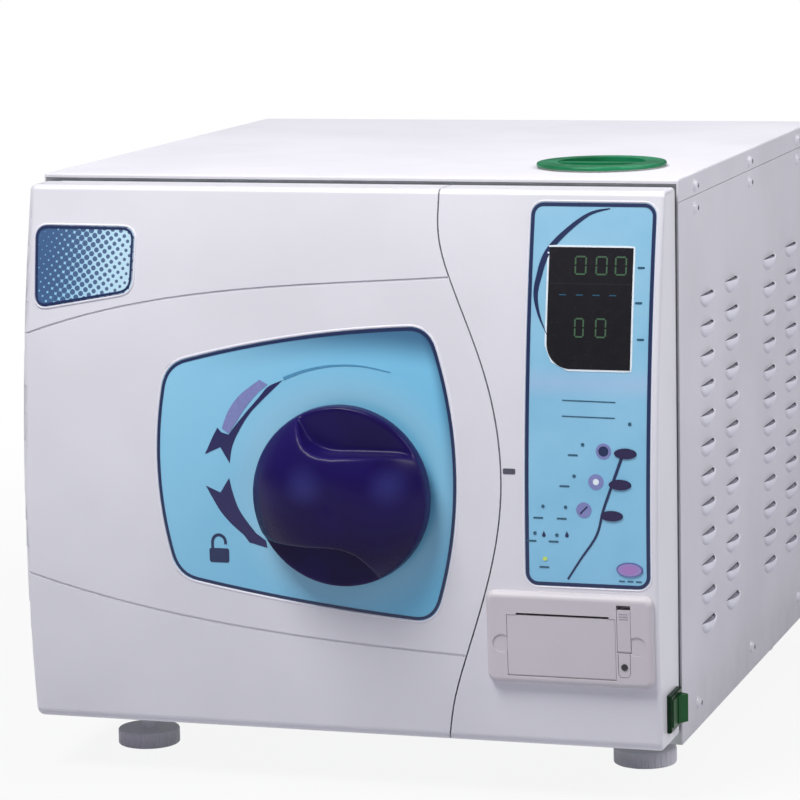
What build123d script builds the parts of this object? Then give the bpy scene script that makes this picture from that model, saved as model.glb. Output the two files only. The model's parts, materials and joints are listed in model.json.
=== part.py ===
from build123d import *
import os
from math import asin, atan2, cos, degrees, hypot, pi, radians, sin, sqrt

# Benchtop steam steriliser: a louvred metal case round a pressure chamber, with a side-hung
# front door, a fixed control fascia and a filler cap on top. Millimetres, +Z up, +Y to the rear.
# While it is drawn, X = 0 is the case's middle, Y = 0 its front plane and Z = 0 the bench.

# Case
case_w = 480.0
case_h = 407.0
case_d = 490.0
foot_h = 32.0
sheet = 1.2
pan_t = 1.5
flange_h = 16.0
hem_h = 3.0
cover_gap = 0.6
pan_flange_h = 26.0
ledge_d = 18.0

# Front mouldings: flat across, one shallow arc from top to bottom
front_inset = 1.5
front_top_gap = 5.0
front_bottom_gap = 8.0
front_depth = 65.0
front_arc_r = 1000.0
bulge_height = 150.0
wall = 3.0
front_rear_gap = 4.0
left_edge_r = 5.0
top_edge_r = 5.0
bottom_edge_r = 8.0
right_edge_r = 3.0
seam_gap = 1.2
groove_w = 2.0
groove_depth = 1.0

# Chamber and lock
chamber_x = 12.0
chamber_h = 187.5
chamber_r = 100.0
chamber_wall = 2.0
chamber_l = 366.0
dish_depth = 28.0
flange_t = 6.0
flange_r = 124.0
ring_clearance = 2.5
ring_l = 24.0
plate_r = 108.0
plate_t = 5.0
gasket_t = 5.7
gasket_w = 5.5
gasket_gap = 0.3
jacket_t = 12.0
jacket_gap = 4.0
port_r = 8.0
port_reach = 36.0

# Knob, cam and radial bolts
knob_r = 65.5
knob_skirt = 18.0
knob_dome = 27.0
knob_gap = 1.0
scoop_floor = 1.5
spindle_r = 7.0
fit_gap = 0.05
cam_r = 38.0
cam_t = 4.0
lock_angle = 90.0
bolt_travel = 12.0
bolt_r = 5.0
bolt_inner = 13.0
bolt_outer = 106.0
pin_r = 2.8
pin_slot_gap = 0.3
pin_start_r = 18.0
guide_w = 24.0
guide_l = 18.0

# Hinge
hinge_x = 12.0 - case_w / 2
hinge_y = -16.0
hinge_pin_r = 4.0
knuckle_r = 6.5
arm_t = 3.0
arm_h = 60.0
arm_y = -52.0
hinge_side_gap = 7.0
bracket_h = 11.0
bracket_gap = 1.0
bracket_reach = 22.0
liner_t = 1.5
liner_y = -9.0

# Racks and trays
tray_w = 136.0
tray_l = 300.0
tray_h = 16.0
tray_t = 1.0
tray_front_y = 24.0
tray_pitch = 47.0
tray_levels = 3
rack_t = 1.2
rail_w = 9.0
tray_lift = 0.4

# Tank, neck and cap
cap_x = 162.0
cap_y = 90.0
cap_r = 47.5
cap_t = 2.8
neck_r = 38.0
neck_wall = 2.0
neck_flange_r = 46.0
neck_flange_t = 1.0
tank_x0 = 72.0
tank_x1 = 213.0
tank_h = 78.0
tank_z0 = 352.0
tank_wall = 3.0

# Louvres and screws
louvre_l = 44.0
louvre_pitch = 22.0
louvre_rows = 12
louvre_columns = (86.0, 169.0, 306.0, 391.0)
louvre_low = 74.0
louvre_reach = 5.5
louvre_axis_depth = 6.0
louvre_t = 1.0
screw_ys = (50.0, 235.0, 420.0)
screw_foot_h = 19.5
screw_head_r = 4.5
screw_head_h = 3.2
screw_shank_r = 2.0
screw_l = 8.0

# Control fascia fittings
overlay_x0 = 143.3
overlay_x1 = 233.4
overlay_h0 = 126.7
overlay_h1 = 393.9
overlay_corner_r = 9.0
overlay_t = 0.5
recess_t = 0.6
window_x0 = 158.0
window_x1 = 218.0
window_h0 = 279.7
window_h1 = 363.2
window_t = 2.6
key_gap = 0.2
key_travel = 0.6
key_proud = 0.8
key_deep = 4.0
stem_deep = 7.0
mode_key_size = (15.8, 7.0)
start_key_size = (18.8, 9.8)
mode_keys = {"top": (215.6, 222.1), "middle": (211.9, 200.2), "lower": (206.0, 178.1)}
start_key_place = (218.6, 140.5)

# Printer in the fascia
printer_x = 175.0
printer_height = 89.0
printer_w = 121.0
printer_h = 67.0
printer_proud = 6.0
printer_depth = 56.0
printer_wall = 2.5

# Power switch in the fascia's side
switch_y = -25.0
switch_height = 32.0
switch_l = 31.0
switch_h = 27.0
switch_bezel_t = 3.5
rocker_r = 13.0
rocker_w = 20.0
rocker_tilt = 14.0

# Levels worked out from the sizes above
case_z0 = foot_h
case_z1 = foot_h + case_h
half_w = case_w / 2
inner_w = half_w - sheet
front_hw = half_w - front_inset
front_z0 = case_z0 + front_bottom_gap
front_z1 = case_z1 - front_top_gap
arc_y = front_arc_r - front_depth
arc_z = case_z0 + bulge_height
chamber_z = case_z0 + chamber_h
ring_r = plate_r + ring_clearance
ring_y0 = -flange_t - ring_l
plate_y1 = -flange_t - gasket_gap - gasket_t
plate_y0 = plate_y1 - plate_t
bolt_y = plate_y0 - bolt_r
cam_y1 = bolt_y - bolt_r - 2.0
cam_y0 = cam_y1 - cam_t
deck_z = case_z0 + pan_t
switch_z = case_z0 + switch_height

parts = {}


def box(x0, x1, y0, y1, z0, z1):
    """Block between two corners."""
    middle = ((x0 + x1) / 2, (y0 + y1) / 2, (z0 + z1) / 2)
    return Pos(*middle) * Box(x1 - x0, y1 - y0, z1 - z0)


def rod(place, radius, length, along="Z"):
    """Round bar that starts at place and runs towards +X, +Y or +Z."""
    turn = {"X": Rot(0, 90, 0), "Y": Rot(-90, 0, 0), "Z": Rot(0, 0, 0)}[along]
    bar = Cylinder(radius, length, align=(Align.CENTER, Align.CENTER, Align.MIN))
    return Pos(*place) * turn * bar


def tube(place, outer, inner, length, along="Z"):
    """Round tube that starts at place."""
    return rod(place, outer, length, along) - rod(place, inner, length, along)


def slab(face, y0, y1):
    """Outline drawn in X and Z, made solid from y0 in front to y1 behind."""
    rear = Plane((0, y1, 0), x_dir=(1, 0, 0), z_dir=(0, -1, 0))
    return extrude(rear * face, amount=y1 - y0)


def outline(*points):
    """Closed face through straight edges."""
    return make_face(Polyline(*points, close=True))


def rounded(points, radius):
    """Closed face of straight edges with every corner rounded."""
    face = outline(*points)
    return fillet(face.vertices(), radius)


def drum(offset):
    """The cylinder whose front is the mouldings' curved face, moved out by offset."""
    width = case_w + 60
    place = (-width / 2, arc_y, arc_z)
    return rod(place, front_arc_r + offset, width, "X")


def skin(face, low, high):
    """Layer of the curved front between two depths, cut to an outline."""
    layer = slab(face, -front_depth - 30, -front_depth + 60) & drum(high)
    return layer - drum(low)


def front_y(z):
    """Depth of the curved front at a level."""
    return arc_y - sqrt(front_arc_r ** 2 - (z - arc_z) ** 2)


def front_plane(x, z):
    """Plane that touches the curved front, looking out of it."""
    y = front_y(z)
    return Plane(origin=(x, y, z), x_dir=(1, 0, 0), z_dir=(0, y - arc_y, z - arc_z))


def front_block(offset, rear):
    """The whole front form before the seam parts it, grown by offset."""
    block = box(
        -front_hw - offset, front_hw + offset,
        -front_depth - 20, rear,
        front_z0 - offset, front_z1 + offset,
    ) & drum(offset)

    def curved_face_edges(part):
        faces = part.faces().filter_by(GeomType.CYLINDER)
        face = faces.sort_by(SortBy.AREA)[-1]
        return face.edges()

    level = curved_face_edges(block).filter_by(Axis.X).sort_by(Axis.Z)
    block = fillet([level[-1]], top_edge_r + offset)
    level = curved_face_edges(block).filter_by(Axis.X).sort_by(Axis.Z)
    block = fillet([level[0]], bottom_edge_r + offset)
    upright = curved_face_edges(block).sort_by(Axis.X)
    block = fillet([upright[0]], left_edge_r + offset)
    if right_edge_r + offset > 0.5:
        upright = curved_face_edges(block).sort_by(Axis.X)
        block = fillet([upright[-1]], right_edge_r + offset)
    return block


seam_points = [
    (75.0, 385.0), (85.4, 341.0), (114.0, 271.6), (125.9, 196.0), (110.6, 110.6), (89.5, 46.0),
    (82.4, 10.0),
]


def door_side(shift, left=-half_w - 40):
    """Everything left of the seam between door and fascia, as an outline."""
    knots = [(x + shift, case_z0 + h) for x, h in seam_points]
    top = (knots[0][0], case_z1 + 30)
    foot = (knots[-1][0] - 6, case_z0 - 30)
    curve = Spline(*knots, tangents=[(0, -1), (-6, -10 - 30)])
    seam = Line(top, knots[0]) + curve + Line(knots[-1], foot)
    return make_face(seam + Polyline(foot, (left, foot[1]), (left, top[1]), top))


def groove(points, width=groove_w):
    """Curved ribbon outline that a moulded groove follows."""
    knots = [(x, case_z0 + h) for x, h in points]
    upper = Spline(*[(x, z + width / 2) for x, z in knots])
    lower = Spline(*[(x, z - width / 2) for x, z in knots])
    return make_face(upper + Line(upper @ 1, lower @ 1) + lower + Line(lower @ 0, upper @ 0))


# Case


def base_pan():
    pan = box(-inner_w, inner_w, 0, case_d - sheet, case_z0, deck_z)
    top = deck_z + pan_flange_h
    inner_x = inner_w - pan_t
    back = case_d - sheet
    pan += box(-inner_w, -inner_x, pan_t, back, deck_z, top)
    pan += box(inner_x, inner_w, pan_t, back, deck_z, top)
    pan += box(-inner_x, inner_x, pan_t, 2 * pan_t, deck_z, top)
    pan += box(-inner_x, inner_x, back - pan_t, back, deck_z, top)
    # saddle under the rear of the chamber
    saddle_y = chamber_l - 50
    jacket_r = chamber_r + chamber_wall + jacket_gap + jacket_t
    saddle = box(chamber_x - 80, chamber_x + 80, saddle_y, saddle_y + 3, deck_z, chamber_z - 70)
    saddle += box(chamber_x - 80, chamber_x + 80, saddle_y, saddle_y + 20, deck_z, deck_z + 2)
    pan += saddle - rod((chamber_x, 0, chamber_z), jacket_r, case_d, "Y")
    holes = [
        rod((-half_w, y, z), screw_shank_r + 0.1, case_w, "X")
        for y, z in side_screw_places() if z < top
    ]
    holes += [
        rod((x, back - 5, z), screw_shank_r + 0.1, 10, "Y")
        for x, z in rear_screw_places() if z < top
    ]
    pan -= holes
    for x, y in foot_places():
        pan += rod((x, y, deck_z), foot_stud_r + 4, nut_h)
        pan -= rod((x, y, case_z0 - 1), foot_stud_r + fit_gap, nut_h + pan_t + 2)
    return pan


foot_disc_r = 23.4
foot_disc_h = 12.0
foot_stud_r = 5.0
front_left_foot_place = (-186.0, 38.0)
front_right_foot_place = (196.0, 67.0)
rear_foot_x = 190.0
rear_foot_inset = 45.0
nut_h = 8.0
knurl_r = 1.0
knurl_count = 30


def foot_places():
    """The front pair, left and right, then the rear pair."""
    rear_y = case_d - rear_foot_inset
    rear = [(-rear_foot_x, rear_y), (rear_foot_x, rear_y)]
    return [front_left_foot_place, front_right_foot_place] + rear


def levelling_foot(x, y):
    disc = rod((x, y, 0), foot_disc_r, foot_disc_h)
    disc = fillet(disc.edges().filter_by(GeomType.CIRCLE), 1.5)
    knurl = [
        Pos(x, y, foot_disc_h / 2) * Rot(0, 0, step * 360 / knurl_count)
        * Pos(foot_disc_r + knurl_r / 2, 0, 0) * Cylinder(knurl_r, foot_disc_h + 2)
        for step in range(knurl_count)
    ]
    disc = disc - knurl
    return disc + rod((x, y, foot_disc_h - 1), foot_stud_r, foot_h + nut_h + 5 - foot_disc_h)


def louvre_tools():
    """One louvre on the right side: the hollow to cut and the pressed scoop to add."""
    axis_x = half_w - louvre_axis_depth
    rise = louvre_axis_depth + louvre_reach

    def lens(high, low):
        """Spun slice between the wall line and an arc that swells to high at mid-length."""
        half = louvre_l / 2
        arc = ThreePointArc((low, -half), (high, 0), (low, half))
        face = make_face(arc + Polyline((low, half), (0, half), (0, -half), (low, -half)))
        return face

    def spun(high, low, angle):
        face = Plane((axis_x, 0, 0), x_dir=(1, 0, 0), z_dir=(0, 0, 1)) * lens(high, low)
        return revolve(face, Axis((axis_x, 0, 0), (0, 1, 0)), angle)

    outer = spun(rise, louvre_axis_depth, 75)
    inner = spun(rise - louvre_t, louvre_axis_depth - louvre_t, 75)
    keep = box(half_w - sheet, half_w + 20, -louvre_l, louvre_l, -40, 1)
    scoop = (outer - inner) & keep
    hollow = inner & box(half_w - sheet - 1, half_w + 20, -louvre_l, louvre_l, -40, 1)
    return hollow, scoop


def side_screw_places():
    """Screw centres on one side: cover flange, panel top and panel foot."""
    rows = (case_z1 - flange_h / 2 - 1, case_z1 - flange_h - 9, case_z0 + screw_foot_h)
    return [(y, z) for z in rows for y in screw_ys]


def rear_screw_places():
    return [(x, z) for z in (case_z1 - flange_h / 2 - 1, case_z0 + 10) for x in (-200, 0, 200)]


def right_side_panel():
    top = case_z1 - flange_h - cover_gap
    panel = box(inner_w, half_w, 0, case_d, case_z0, top)
    step_in = inner_w - sheet
    panel += box(step_in, inner_w, 2, case_d - 2, top - 8, case_z1 - 3)
    hollow, scoop = louvre_tools()
    places = [
        Pos(0, y, case_z0 + louvre_low + row * louvre_pitch)
        for y in louvre_columns for row in range(louvre_rows)
    ]
    panel = panel - [place * hollow for place in places]
    panel = panel + [place * scoop for place in places]
    holes = [
        rod((step_in - 1, y, z), screw_shank_r + 0.1, sheet * 2 + 2, "X")
        for y, z in side_screw_places()
    ]
    return panel - holes


def top_cover():
    cover = box(-half_w, half_w, 0, case_d, case_z1 - flange_h, case_z1)
    cover = fillet(
        cover.edges().filter_by(Axis.Y).sort_by(Axis.Z)[-2:]
        + cover.edges().filter_by(Axis.X).sort_by(Axis.Z)[-2:],
        1.6,
    )
    cover -= box(-inner_w, inner_w, sheet, case_d - sheet, 0, case_z1 - sheet)
    cover -= box(-inner_w, inner_w, -1, sheet + 1, 0, case_z1 - hem_h)
    cover -= rod((cap_x, cap_y, case_z1 - 10), neck_r + neck_wall + 0.5, 20)
    for side in (-1, 1):
        for y, z in side_screw_places()[:3]:
            cover -= rod((side * half_w - 5, y, z), screw_shank_r + 0.1, 10, "X")
    for x, z in rear_screw_places()[:3]:
        cover -= rod((x, case_d - 5, z), screw_shank_r + 0.1, 10, "Y")
    return cover


def rear_panel():
    top = case_z1 - flange_h - cover_gap
    back = case_d - sheet
    panel = box(-inner_w, inner_w, back, case_d, deck_z, top)
    panel += box(-inner_w + 2, inner_w - 2, back - sheet, back, top - 8, case_z1 - 3)
    panel += box(tank_x0, tank_x1, back - ledge_d, back, tank_z0 - pan_t, tank_z0)
    for x, z in rear_screw_places():
        panel -= rod((x, back - 5, z), screw_shank_r + 0.1, 10, "Y")
    # slotted grille in front of the fan
    for row in range(9):
        z = fan_z + (row - 4) * 11
        reach = sqrt(max(fan_r ** 2 - (z - fan_z) ** 2, 0))
        for side in (-1, 1):
            near = fan_x + side * 4
            far = fan_x + side * reach
            panel -= box(min(near, far), max(near, far), back - 1, case_d + 1, z - 2.5, z + 2.5)
    panel -= box(
        inlet_x - inlet_w / 2 - 0.2, inlet_x + inlet_w / 2 + 0.2, back - 1, case_d + 1,
        inlet_z - inlet_h / 2 - 0.2, inlet_z + inlet_h / 2 + 0.2,
    )
    for x, z in drain_places:
        panel -= rod((x, back - 5, z), drain_body_r + 0.2, 10, "Y")
    panel -= rod((valve_x, back - 5, valve_z), 11, 10, "Y")
    return panel


def front_bulkhead():
    plate = box(-inner_w, inner_w, 0, pan_t, deck_z, case_z1 - hem_h - 0.3)
    hole_r = chamber_r + chamber_wall + jacket_gap
    plate -= rod((chamber_x, -1, chamber_z), hole_r, 5, "Y")
    plate -= box(170, 215, -1, 5, chamber_z - 20, chamber_z + 30)
    for side in (-1, 1):
        x = side * (inner_w - pan_t / 2)
        low = deck_z + pan_flange_h + 1
        plate += box(x - pan_t / 2, x + pan_t / 2, pan_t, pan_t + 12, low, case_z1 - 30)
    return plate


def dome_screw():
    """Dome head at the origin, shank towards -Z."""
    ball_r = (screw_head_r ** 2 + screw_head_h ** 2) / (2 * screw_head_h)
    head = Pos(0, 0, screw_head_h - ball_r) * Sphere(ball_r)
    head &= rod((0, 0, 0), screw_head_r, screw_head_h + 1)
    return head + rod((0, 0, -screw_l), screw_shank_r, screw_l + 0.5)


def case_screws():
    screw = dome_screw()
    screws = []
    for y, z in side_screw_places():
        screws.append(Pos(half_w, y, z) * Rot(0, 90, 0) * screw)
        screws.append(Pos(-half_w, y, z) * Rot(0, -90, 0) * screw)
    for x, z in rear_screw_places():
        screws.append(Pos(x, case_d, z) * Rot(-90, 0, 0) * screw)
    return screws


# Chamber and lock


def spun_about_chamber(points_or_edges):
    """Profile drawn as (radius, Y), spun round the chamber's axis."""
    face = Pos(0, 0, 0) * points_or_edges
    body = revolve(face, Axis.Y, 360)
    return Pos(chamber_x, 0, chamber_z) * body


def chamber():
    outer = chamber_r + chamber_wall
    end = chamber_l
    tip = end + dish_depth
    shell = (
        Polyline((chamber_r, -flange_t), (flange_r, -flange_t), (flange_r, 0), (outer, 0), (outer, end))
        + dish_arc(outer, end, tip + chamber_wall)
        + Line((0, tip + chamber_wall), (0, tip))
        + dish_arc(chamber_r, end, tip)
        + Line((chamber_r, end), (chamber_r, -flange_t))
    )
    vessel = spun_about_chamber(make_face(shell))
    cavity = spun_about_chamber(make_face(
        Polyline((chamber_r, end), (chamber_r, -flange_t), (0, -flange_t), (0, tip))
        + dish_arc(chamber_r, end, tip)
    ))
    for x, z in chamber_ports:
        boss = rod((x, end + 5, z), port_r, port_reach - 5, "Y") - cavity
        vessel += boss
        vessel -= rod((x, end, z), port_r - 4, port_reach + 1, "Y")
    return vessel


def dish_arc(radius, start, tip):
    """Arc of the dished end, from the wall to the middle."""
    depth = tip - start
    ball = (radius ** 2 + depth ** 2) / (2 * depth)
    half = asin(radius / ball) / 2
    middle = (ball * sin(half), tip - ball + ball * cos(half))
    return ThreePointArc((radius, start), middle, (0, tip))


chamber_ports = [
    (chamber_x, chamber_z + 60),
    (chamber_x - 55, chamber_z - 30),
    (chamber_x + 55, chamber_z - 30),
]
valve_x, valve_z = chamber_ports[0]


def insulation_jacket():
    inner = chamber_r + chamber_wall + jacket_gap
    outer = inner + jacket_t
    start = pan_t + 14
    body = tube((chamber_x, start, chamber_z), outer, inner, chamber_l - start, "Y")
    return body


def locking_ring():
    ring = tube((chamber_x, ring_y0, chamber_z), flange_r, ring_r, ring_l, "Y")
    ring = chamfer(ring.edges().filter_by(GeomType.CIRCLE).group_by(Axis.Y)[0], 1.0)
    for angle in (0, 90, 180, 270):
        ring -= radial_rod(angle, ring_r - 5, flange_r + 5, bolt_r + 0.6)
    return ring


def radial_rod(angle, r0, r1, radius):
    """Round bar along a radius of the lock, at the bolts' depth."""
    bar = rod((0, 0, r0), radius, r1 - r0)
    return Pos(chamber_x, bolt_y, chamber_z) * Rot(0, 90 - angle, 0) * bar


def tray_rack():
    half = tray_w / 2 + 2 + rack_t
    y0 = tray_front_y
    y1 = tray_front_y + tray_l + 10
    low = chamber_z - sqrt((chamber_r - 0.5) ** 2 - half ** 2)
    high = chamber_z + 62
    rack = None
    for side in (-1, 1):
        x0, x1 = sorted((side * half, side * (half - rack_t)))
        plate = box(chamber_x + x0, chamber_x + x1, y0, y1, low, high)
        for window in range(4):
            y = y0 + 25 + window * 72
            for level in range(3):
                z = tray_level(level) + 8
                plate -= box(chamber_x + x0 - 1, chamber_x + x1 + 1, y, y + 55, z, z + 22)
        for level in range(tray_levels):
            r0, r1 = sorted((side * half, side * (half - rack_t - rail_w)))
            z = tray_level(level)
            plate += box(chamber_x + r0, chamber_x + r1, y0, y1, z - rack_t, z)
            stop0, stop1 = sorted((side * half, side * (half - rack_t - rail_w)))
            plate += box(chamber_x + stop0, chamber_x + stop1, y1 - rack_t, y1, z, z + 8)
        rack = plate if rack is None else rack + plate
    for y in (y0 + 6, y1 - 8):
        for z in (low + 4, ):
            rack += rod((chamber_x - half + 0.2, y, z), 2.0, 2 * half - 0.4, "X")
    return rack


def tray_level(level):
    return chamber_z - 52 + level * tray_pitch


def tray(level):
    z = tray_level(level) + tray_lift
    y0 = tray_front_y + 1
    half = tray_w / 2
    pan = box(chamber_x - half, chamber_x + half, y0, y0 + tray_l, z, z + tray_h)
    pan = fillet(pan.edges().filter_by(Axis.Z), 6)
    hollow = box(
        chamber_x - half + tray_t, chamber_x + half - tray_t,
        y0 + tray_t, y0 + tray_l - tray_t, z + tray_t, z + tray_h + 1,
    )
    pan -= fillet(hollow.edges().filter_by(Axis.Z), 5)
    slots = [
        box(chamber_x + x - 2, chamber_x + x + 2, y0 + 20 + row * 34, y0 + 44 + row * 34, z - 1, z + 2)
        for row in range(8) for x in (-50, -30, -10, 10, 30, 50)
    ]
    pan -= slots
    # folded grip at the front
    grip = box(chamber_x - 30, chamber_x + 30, y0 - 8, y0 + tray_t, z + tray_h - tray_t, z + tray_h)
    return pan + grip


# Door


def door_cover():
    rear = -front_rear_gap
    shell = front_block(0, rear) & slab(door_side(-seam_gap / 2), -front_depth - 30, rear)
    inner = front_block(-wall, 5) & slab(door_side(-seam_gap / 2 - wall), -front_depth - 30, 5)
    shell -= inner
    # the hinge side stops short, so that its corner swings clear of the case
    shell -= box(-half_w, hinge_x + 4, -hinge_side_gap, 5, case_z0, case_z1)
    # room for the fixed locking ring behind the seam edge
    shell -= rod((chamber_x, ring_y0 - 3, chamber_z), flange_r + 3, 60, "Y")
    shell -= rod((chamber_x, -front_depth - 30, chamber_z), spindle_r + 1.5, 80, "Y")
    shell -= skin(panel_outline(0.2), -panel_t - 0.1, 5)
    shell -= slab(badge_outline(0.15), -front_depth - 30, -20) - front_block(-badge_sink, 5)
    for points in (upper_groove, lower_groove):
        shell -= skin(groove(points), -groove_depth, 5)
    return shell


upper_groove = [(-242, 292.4), (-140, 320), (-26, 333.5), (100, 342)]
lower_groove = [(-242, 121), (-157, 99.5), (-42, 82.4), (104, 72)]
outward = [(-1, 1), (-1, -1), (1, -1), (1, 1)]
panel_t = 1.4
panel_corner_r = 12.0
badge_corner_r = 8.0
badge_sink = 0.5
badge_proud = 0.8


def panel_outline(grow):
    """Blue inset: four gently bowed sides with rounded corners."""
    corners = [(-126, 275.5), (-118, 121.8), (75, 96), (71, 306.5)]
    bows = [(-132.2, 200), (-25.3, 106.2), (93.2, 200), (-35, 296)]
    points = [
        (x + grow * out_x, case_z0 + h + grow * out_z)
        for (x, h), (out_x, out_z) in zip(corners, outward)
    ]
    middles = [
        (x + grow * out_x, case_z0 + h + grow * out_z)
        for (x, h), (out_x, out_z) in zip(bows, [(-1, 0), (0, -1), (1, 0), (0, 1)])
    ]
    sides = [
        ThreePointArc(points[i], middles[i], points[(i + 1) % 4])
        for i in range(4)
    ]
    face = make_face(sides[0] + sides[1] + sides[2] + sides[3])
    return fillet(face.vertices(), panel_corner_r + grow)


def door_panel():
    face = panel_outline(0)
    piece = skin(face, -panel_t, -0.2)
    return piece - rod((chamber_x, -front_depth - 30, chamber_z), spindle_r + 1.5, 80, "Y")


def badge_outline(grow):
    corners = [(-230.5, 372.7), (-228.5, 313.5), (-154, 326.5), (-153.5, 372.3)]
    points = [
        (x + grow * out_x, case_z0 + h + grow * out_z)
        for (x, h), (out_x, out_z) in zip(corners, outward)
    ]
    return rounded(points, badge_corner_r + grow)


def door_badge():
    piece = slab(badge_outline(0), -front_depth - 30, -20) & front_block(badge_proud, 5)
    return piece - front_block(-badge_sink, 5)


def door_plate():
    """Pressure plate with the bolt guides and the spindle's bearing boss on its front."""
    plate = rod((chamber_x, plate_y0, chamber_z), plate_r, plate_t, "Y")
    plate += rod((chamber_x, plate_y0 - 9, chamber_z), 11.5, 9, "Y")
    for angle in (0, 90, 180, 270):
        block = box(-guide_w / 2, guide_w / 2, -bolt_r - 2.0, bolt_r, 72, 72 + guide_l)
        plate += Pos(chamber_x, bolt_y, chamber_z) * Rot(0, 90 - angle, 0) * block
        plate -= radial_rod(angle, 60, 100, bolt_r + fit_gap)
    plate -= rod((chamber_x, plate_y0 - 20, chamber_z), spindle_r + fit_gap, 22, "Y")
    return plate


def door_gasket():
    outer = plate_r - 1
    return tube((chamber_x, plate_y1, chamber_z), outer, outer - gasket_w, gasket_t, "Y")


arm_posts = [(x, z) for x in (-45, 45) for z in (-24, 24)]


def door_arm():
    """Carrying arm from the hinge to the plate, with its four posts."""
    hx, hy = hinge_x, hinge_y
    bend_x = hx + 33.0
    wire = [
        (chamber_x + 62, arm_y), (bend_x - 1, arm_y), (hx + 2, hy - 6),
        (hx + 6, hy - 2), (bend_x + 1, arm_y + arm_t), (chamber_x + 62, arm_y + arm_t),
    ]
    low = chamber_z - arm_h / 2
    arm = Pos(0, 0, low) * extrude(outline(*wire), amount=arm_h)
    arm += rod((hx, hy, low), knuckle_r, arm_h)
    arm -= rod((hx, hy, low - 1), hinge_pin_r + fit_gap, arm_h + 2)
    arm -= rod((chamber_x, arm_y - 5, chamber_z), spindle_r + 2, 20, "Y")
    for x, z in arm_posts:
        arm += rod((chamber_x + x, arm_y + arm_t - 1, chamber_z + z), 5, plate_y0 - arm_y - arm_t + 1, "Y")
    return arm


hinge_span = arm_h + 2 * (bracket_gap + bracket_h)
swing_r = hypot(front_hw + hinge_x, -hinge_side_gap - hinge_y)


def door_liner():
    """Flat inner cover that closes the back of the door round the locking ring."""
    edge = -front_hw + wall + 0.5
    liner = slab(door_side(-seam_gap / 2 - wall - 0.5, left=edge), liner_y, liner_y + liner_t)
    liner &= box(-half_w, half_w, -60, 0, front_z0 + wall + 0.5, front_z1 - wall - 0.5)
    liner -= rod((chamber_x, -60, chamber_z), flange_r + 3, 60, "Y")
    window_h = hinge_span / 2 + 5
    liner -= box(
        -half_w, hinge_x + bracket_reach + 7, -60, 0, chamber_z - window_h, chamber_z + window_h,
    )
    return liner


def hinge_brackets():
    """Two cranked brackets on the bulkhead and the pin through them."""
    pieces = []
    foot_x0 = hinge_x + swing_r + 1.2
    for side in (-1, 1):
        near = chamber_z + side * (arm_h / 2 + bracket_gap)
        far = near + side * bracket_h
        z0, z1 = sorted((near, far))
        ear = box(hinge_x, hinge_x + bracket_reach, hinge_y - 4.5, hinge_y + 3.5, z0, z1)
        ear += rod((hinge_x, hinge_y, z0), knuckle_r - 0.5, z1 - z0)
        ear += box(foot_x0, hinge_x + bracket_reach, hinge_y, 0, z0, z1)
        ear += box(foot_x0, hinge_x + bracket_reach + 20, -2.5, 0, z0, z1)
        ear -= rod((hinge_x, hinge_y, z0 - 1), hinge_pin_r, bracket_h + 2)
        pieces.append(ear)
    pieces.append(rod((hinge_x, hinge_y, chamber_z - hinge_span / 2), hinge_pin_r, hinge_span))
    return pieces


knob_y1 = -front_depth - knob_gap
grip_ridge = [
    (-33, 62), (-26.4, 50.5), (-18.6, 38.8), (-9.9, 34.1), (12, 32.7), (37, 32.8), (52.3, 31.2),
    (62.3, 24.5), (71, 13),
]


def knob():
    """Domed knob with an S-shaped grip bar between two finger scoops."""
    rim_y = knob_y1 - knob_skirt
    tip_y = rim_y - knob_dome
    profile = make_face(
        Polyline((0, knob_y1), (0, tip_y))
        + ThreePointArc((0, tip_y), (knob_r * 0.72, rim_y - knob_dome * 0.62), (knob_r - 1, rim_y))
        + Polyline((knob_r - 1, rim_y), (knob_r, knob_y1 - 6), (knob_r - 6, knob_y1), (0, knob_y1))
    )
    body = spun_about_chamber(profile)
    floor_y = rim_y + scoop_floor
    curve = Spline(*grip_ridge)
    face = make_face(curve + Polyline(grip_ridge[-1], (90, 90), (grip_ridge[0][0], 90), grip_ridge[0]))
    for turn in (0, 180):
        scoop = Pos(chamber_x, 0, chamber_z) * Rot(0, turn, 0) * slab(face, tip_y - 10, floor_y)
        body -= scoop
    body -= rod((chamber_x, knob_y1 - 20, chamber_z), spindle_r + 0.05, 30, "Y")
    return body


def lock_spindle():
    """Knob's shaft with the slotted cam that drives the bolts."""
    shaft = rod((chamber_x, knob_y1 - 20, chamber_z), spindle_r, plate_y0 + 1.5 - knob_y1 + 20, "Y")
    cam = rod((chamber_x, cam_y0, chamber_z), cam_r, cam_t, "Y")
    for start in (0, 90, 180, 270):
        cam -= slab(cam_slot(start), cam_y0 - 1, cam_y1 + 1)
    return shaft + cam


def cam_slot(start, steps=10):
    """Spiral slot: each turn of the cam moves its pin evenly outwards."""
    half = pin_r + pin_slot_gap

    def ring(shift, order):
        points = []
        for step in order:
            share = step / steps
            turn = radians(start + lock_angle * share)
            radius = pin_start_r + bolt_travel * share + shift
            points.append((chamber_x + radius * cos(turn), chamber_z + radius * sin(turn)))
        return points

    rows = ring(half, range(steps + 1)) + ring(-half, range(steps, -1, -1))
    face = outline(*rows)
    for share in (0, 1):
        turn = radians(start + lock_angle * share)
        radius = pin_start_r + bolt_travel * share
        place = Pos(chamber_x + radius * cos(turn), chamber_z + radius * sin(turn))
        face += place * Circle(half + 0.05)
    return face


def lock_bolt(angle):
    bar = radial_rod(angle, bolt_inner, bolt_outer, bolt_r)
    bar = chamfer(bar.edges().filter_by(GeomType.CIRCLE), 0.8)
    turn = radians(angle)
    x = chamber_x + pin_start_r * cos(turn)
    z = chamber_z + pin_start_r * sin(turn)
    reach = bolt_y - cam_y0 - 0.5
    return bar + rod((x, cam_y0 + 0.5, z), pin_r, reach, "Y")


# Control fascia and what it carries


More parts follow.
